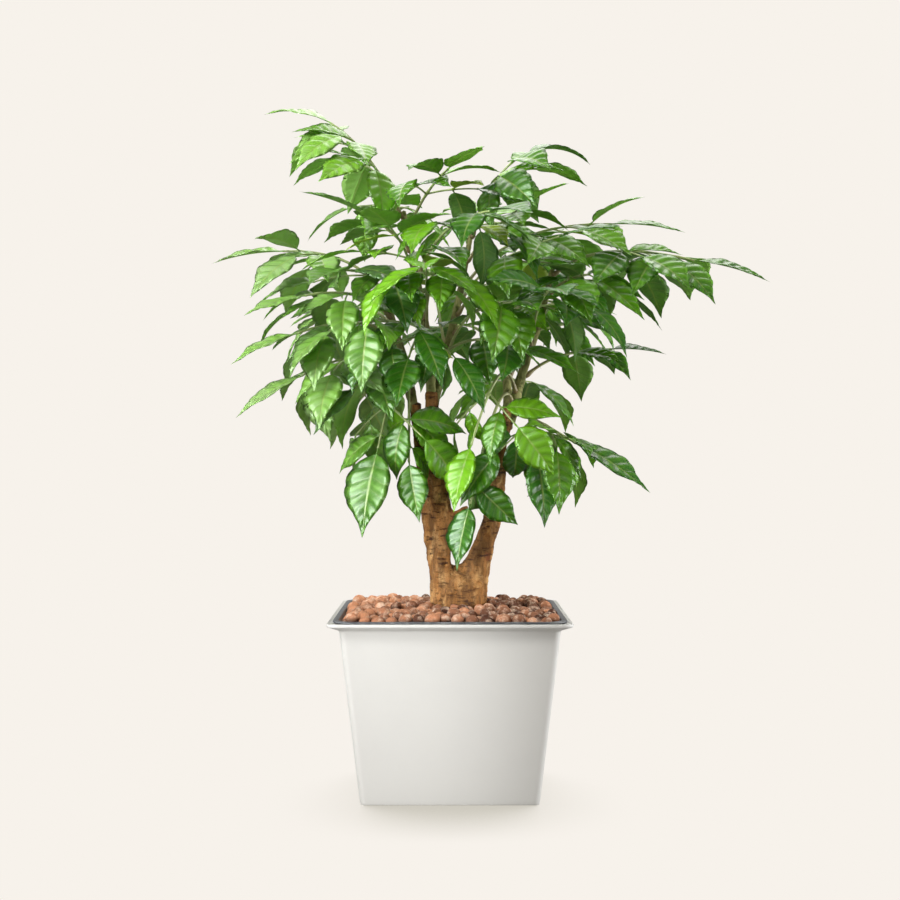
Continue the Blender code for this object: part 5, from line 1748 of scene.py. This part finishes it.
# Soft boxes: place, what it points at, width in metres, spread in radians, power in watts and
# colour. The sheen is only a reflection: it gives the leaves on the left their pale gloss.
WARM, PALE, COOL = (1.0, 0.995, 0.97), (1.0, 0.99, 0.95), (0.97, 0.985, 1.0)
SOFT_BOXES = {
    "window on the left": ((-0.80, -0.85, 1.35), (-0.03, 0.0, 0.53), 0.70, 0.64, 1.1, WARM),
    "back and above": ((0.15, 0.70, 1.40), (0.0, 0.0, 0.40), 1.00, 3.0, 12.0, PALE),
    "near left": ((-0.72, -0.42, 0.62), (-0.14, 0.0, 0.46), 0.50, 1.20, 1.0, (0.96, 0.985, 1.0)),
    "sheen": ((-0.75, -0.60, 0.60), (-0.18, 0.0, 0.42), 0.80, 1.40, 7.0, (0.95, 0.985, 1.0)),
    "right edge": ((0.85, -0.02, 0.30), (0.0, 0.0, 0.15), 0.40, 3.0, 6.0, COOL),
}
REFLECTED_ONLY = ("sheen",)

# Spots: name, place, what it points at, width in radians, power in watts, height for its width
SPOTS = [
    ("left of the pot's front", (-0.45, -0.98, 0.20), (-0.038, -0.09, 0.105), 0.24, 23.0, 3.6),
    ("middle of the leaves", (0.20, -1.10, 0.80), (0.02, -0.03, 0.42), 0.34, 8.5, 1.0),
]
SPOT_SOFTNESS = 0.04


def build_stage(settings):
    """Pale floor and world, studio lights and the camera."""
    scene = bpy.context.scene
    scene.view_settings.view_transform = "Standard"
    make_floor(settings)
    make_world(settings)
    for name, box in SOFT_BOXES.items():
        add_soft_box(name, *box)
    for spot in SPOTS:
        add_spot(*spot)
    data = bpy.data.cameras.new("camera")
    data.lens = CAMERA_LENS
    data.shift_y = CAMERA_SHIFT
    camera = bpy.data.objects.new("camera", data)
    camera.location = CAMERA_PLACE
    camera.rotation_euler = (math.pi / 2, 0, 0)
    scene.collection.objects.link(camera)
    scene.camera = camera


def seen_or(tree, strength):
    """1 to the camera, and this strength to everything else."""
    seen = put(tree, "LightPath").outputs["Is Camera Ray"]
    glow = put(tree, "MapRange", Value=seen)
    glow.inputs["To Min"].default_value = strength
    return glow.outputs["Result"]


def make_floor(settings):
    """A round pale sheet just under the pot. To the camera it glows in one even colour, darkened
    where the pot hides it from the light above and behind, and to everything else it is a weaker
    glow."""
    turn = 2 * np.pi * np.arange(FLOOR_SIDES) / FLOOR_SIDES
    points = np.column_stack([np.cos(turn), np.sin(turn), np.zeros(FLOOR_SIDES)])
    points *= settings.floor_size
    points[:, 2] = FLOOR_HEIGHT
    mesh = bpy.data.meshes.new("floor")
    mesh.from_pydata(points.tolist(), [], [tuple(range(FLOOR_SIDES))])
    floor = bpy.data.objects.new("floor", mesh)
    bpy.context.scene.collection.objects.link(floor)
    material, tree, shader = new_finish("pale floor", 1.0, Specular_IOR_Level=0.0)
    shader.inputs["Base Color"].default_value = (0.0, 0.0, 0.0, 1.0)
    side = put(tree, "CombineXYZ", **dict(zip("XYZ", SHADE_SIDE))).outputs["Vector"]
    samples = {"samples": SHADE_SAMPLES}
    sky = put(tree, "AmbientOcclusion", samples, Distance=settings.shadow_reach, Normal=side)
    shade = spread(tree, sky.outputs["AO"], *SHADE_RANGE)
    colour = tuple(settings.colour)
    dimmed = tuple(a * b for a, b in zip(colour, tint(*SHADE_TINT)))
    feed(tree, shader.inputs["Emission Color"], mixed(tree, shade, dimmed, colour))
    feed(tree, shader.inputs["Emission Strength"], seen_or(tree, settings.floor_bounce))
    mesh.materials.append(material)


def make_world(settings):
    """The world is the floor's colour to the camera, and a weaker soft light to everything else."""
    world = bpy.data.worlds.new("studio")
    world.use_nodes = True
    tree = world.node_tree
    sky = tree.nodes["Background"]
    sky.inputs["Color"].default_value = (*settings.colour, 1.0)
    feed(tree, sky.inputs["Strength"], seen_or(tree, settings.ambient))
    bpy.context.scene.world = world


def turn_to(light, place_at, target):
    """Places a light, hidden from the camera, so that it faces its target with its own Y axis
    up."""
    light.location = place_at
    light.rotation_euler = (Vector(target) - Vector(place_at)).to_track_quat("-Z", "Y").to_euler()
    light.visible_camera = False
    bpy.context.scene.collection.objects.link(light)


def add_soft_box(name, place_at, target, width, spread_angle, power, colour):
    """A square area light. One that is only reflected shows in gloss alone."""
    data = bpy.data.lights.new(name, "AREA")
    data.size = width
    data.spread = spread_angle
    data.energy = power
    data.color = colour
    light = bpy.data.objects.new(name, data)
    light.visible_diffuse = light.visible_transmission = name not in REFLECTED_ONLY
    turn_to(light, place_at, target)


def add_spot(name, place_at, target, width, energy, tallness):
    """A spot with a wide soft edge. Stretched upwards, its light fades to the sides more than up
    and down."""
    data = bpy.data.lights.new(name, "SPOT")
    data.shadow_soft_size = SPOT_SOFTNESS
    data.spot_size = width
    data.spot_blend = 1.0
    data.energy = energy
    light = bpy.data.objects.new(name, data)
    turn_to(light, place_at, target)
    light.scale = (1.0, tallness, 1.0)


# Settings, operators and panel


def colour_setting(name, description, default):
    """A colour that the panel shows as a swatch."""
    return FloatVectorProperty(
        name=name, description=description, subtype="COLOR", size=3, min=0, max=1, default=default
    )


def length_setting(name, description, default, **limits):
    """A measure that the panel shows in the scene's unit of length."""
    return FloatProperty(
        name=name, description=description, default=default, unit="LENGTH", **limits
    )


def number_setting(name, description, default, **limits):
    """A plain number."""
    return FloatProperty(name=name, description=description, default=default, **limits)


class PotSettings(bpy.types.PropertyGroup):
    """Settings of the white pot"""

    edge: length_setting(
        "Foot edge",
        "Radius of the soft edge round the pot's foot",
        FOOT_SOFTENING,
        min=0.0002,
        max=0.004,
    )
    colour: colour_setting("Colour", "Colour of the white pot", tint(224, 223, 219))


class GrowPotSettings(bpy.types.PropertyGroup):
    """Settings of the grow pot"""

    colour: colour_setting("Colour", "Colour of the dark grow pot", tint(74, 78, 84))


class PebbleSettings(bpy.types.PropertyGroup):
    """Settings of the clay pebbles"""

    size: length_setting("Size", "Width of a pebble", 0.0134, min=0.006, max=0.02)
    colour: colour_setting("Colour", "Colour of the paler clay pebbles", tint(206, 142, 104))


class WoodSettings(bpy.types.PropertyGroup):
    """Settings of the wood"""

    relief: length_setting(
        "Relief", "Depth of the bark's ridges and knobs", 0.0009, min=0, max=0.003
    )
    colour: colour_setting("Colour", "Colour of the sunlit bark", tint(170, 118, 62))


class LeafSettings(bpy.types.PropertyGroup):
    """Settings of the leaves"""

    thickness: length_setting("Thickness", "Thickness of a blade", 0.0004, min=0.0002, max=0.001)
    quilting: length_setting(
        "Quilting",
        "Height of the bulges between side veins on a leaflet 66 mm long",
        0.0015,
        min=0,
        max=0.003,
    )
    wave: length_setting("Wave", "Height of the waves along a margin", 0.0008, min=0, max=0.003)
    droop: length_setting(
        "Margin droop", "How far the margins hang at the widest place", 0.0012, min=0, max=0.004
    )
    scallop: number_setting(
        "Scallops",
        "Depth of the margin's notches as a share of the half width",
        0.05,
        min=0,
        max=0.2,
    )
    veins: IntProperty(
        name="Side veins",
        description="Side veins on each half of a leaflet",
        default=7,
        min=3,
        max=10,
    )
    vein_lean: number_setting(
        "Vein lean", "How far side veins lean towards the tip", 0.62, min=0, max=0.9
    )
    # The leaflets' tone mixes these greens, and it is partly painted light: lighter to the left.
    light_green: colour_setting("Light green", "Green of the youngest leaflets", tint(140, 212, 14))
    dark_green: colour_setting("Dark green", "Green of the oldest leaflets", tint(36, 110, 3))
    vein_green: colour_setting("Vein green", "Green of the midribs and veins", tint(176, 196, 104))


class StageSettings(bpy.types.PropertyGroup):
    """Settings of the stage"""

    colour: colour_setting("Colour", "Colour of the floor and the world", tint(247, 242, 235))
    floor_size: length_setting("Floor size", "Radius of the floor", 30, min=2)
    floor_bounce: number_setting(
        "Floor bounce", "Strength of the light that the floor gives", 0.36, min=0, max=1
    )
    shadow_reach: length_setting(
        "Shadow reach", "How far the pot's soft shadow reaches", 0.135, min=0
    )
    ambient: number_setting("Ambient", "Strength of the world's soft light", 0.42, min=0, max=2)


class PLANT_OT_pot(bpy.types.Operator):
    """Build the white pot"""

    bl_idname = "plant.pot"
    bl_label = "White Pot"

    def execute(self, context):
        """Runs the step with its settings."""
        build_pot(context.scene.plant_pot)
        return {"FINISHED"}


class PLANT_OT_grow_pot(bpy.types.Operator):
    """Build the dark grow pot and finish the soil in it"""

    bl_idname = "plant.grow_pot"
    bl_label = "Grow Pot and Soil"

    def execute(self, context):
        """Runs the step with its settings."""
        build_grow_pot(context.scene.plant_grow_pot)
        finish_soil()
        return {"FINISHED"}


class PLANT_OT_pebbles(bpy.types.Operator):
    """Build the layer of clay pebbles"""

    bl_idname = "plant.pebbles"
    bl_label = "Clay Pebbles"

    def execute(self, context):
        """Runs the step with its settings."""
        build_pebbles(context.scene.plant_pebbles)
        return {"FINISHED"}


class PLANT_OT_wood(bpy.types.Operator):
    """Build the bole with its stems and shoots"""

    bl_idname = "plant.wood"
    bl_label = "Wood"

    def execute(self, context):
        """Runs the step with its settings."""
        build_wood(context.scene.plant_wood)
        return {"FINISHED"}


class PLANT_OT_leaves(bpy.types.Operator):
    """Build the compound leaves"""

    bl_idname = "plant.leaves"
    bl_label = "Leaves"

    def execute(self, context):
        """Runs the step with its settings."""
        build_leaves(context.scene.plant_leaves)
        return {"FINISHED"}


class PLANT_OT_stage(bpy.types.Operator):
    """Build the floor, the lights and the camera"""

    bl_idname = "plant.stage"
    bl_label = "Stage"

    def execute(self, context):
        """Runs the step with its settings."""
        build_stage(context.scene.plant_stage)
        return {"FINISHED"}


class PLANT_PT_panel(bpy.types.Panel):
    """Sizes, colours and steps of the plant"""

    bl_label = "Potted Plant"
    bl_idname = "PLANT_PT_panel"
    bl_space_type = "VIEW_3D"
    bl_region_type = "UI"
    bl_category = "Plant"

    def draw(self, context):
        """Shows each step with its settings."""
        for operator, label, group in STEPS:
            box = self.layout.box()
            box.operator(operator.bl_idname)
            settings = getattr(context.scene, label)
            for name in group.__annotations__:
                box.prop(settings, name)


# Steps: the operator, where the scene keeps its settings, and their group
STEPS = [
    (PLANT_OT_stage, "plant_stage", StageSettings),
    (PLANT_OT_pot, "plant_pot", PotSettings),
    (PLANT_OT_grow_pot, "plant_grow_pot", GrowPotSettings),
    (PLANT_OT_pebbles, "plant_pebbles", PebbleSettings),
    (PLANT_OT_wood, "plant_wood", WoodSettings),
    (PLANT_OT_leaves, "plant_leaves", LeafSettings),
]


def register():
    """Registers the settings, the operators and the panel."""
    for operator, label, group in STEPS:
        bpy.utils.register_class(group)
        setattr(bpy.types.Scene, label, PointerProperty(type=group))
        bpy.utils.register_class(operator)
    bpy.utils.register_class(PLANT_PT_panel)


def unregister():
    """Takes back what register() did."""
    bpy.utils.unregister_class(PLANT_PT_panel)
    for operator, label, group in reversed(STEPS):
        bpy.utils.unregister_class(operator)
        delattr(bpy.types.Scene, label)
        bpy.utils.unregister_class(group)


def main():
    register()
    bpy.ops.plant.stage()
    bpy.ops.plant.pot()
    bpy.ops.plant.grow_pot()
    bpy.ops.plant.pebbles()
    bpy.ops.plant.wood()
    bpy.ops.plant.leaves()


if __name__ == "__main__":
    main()
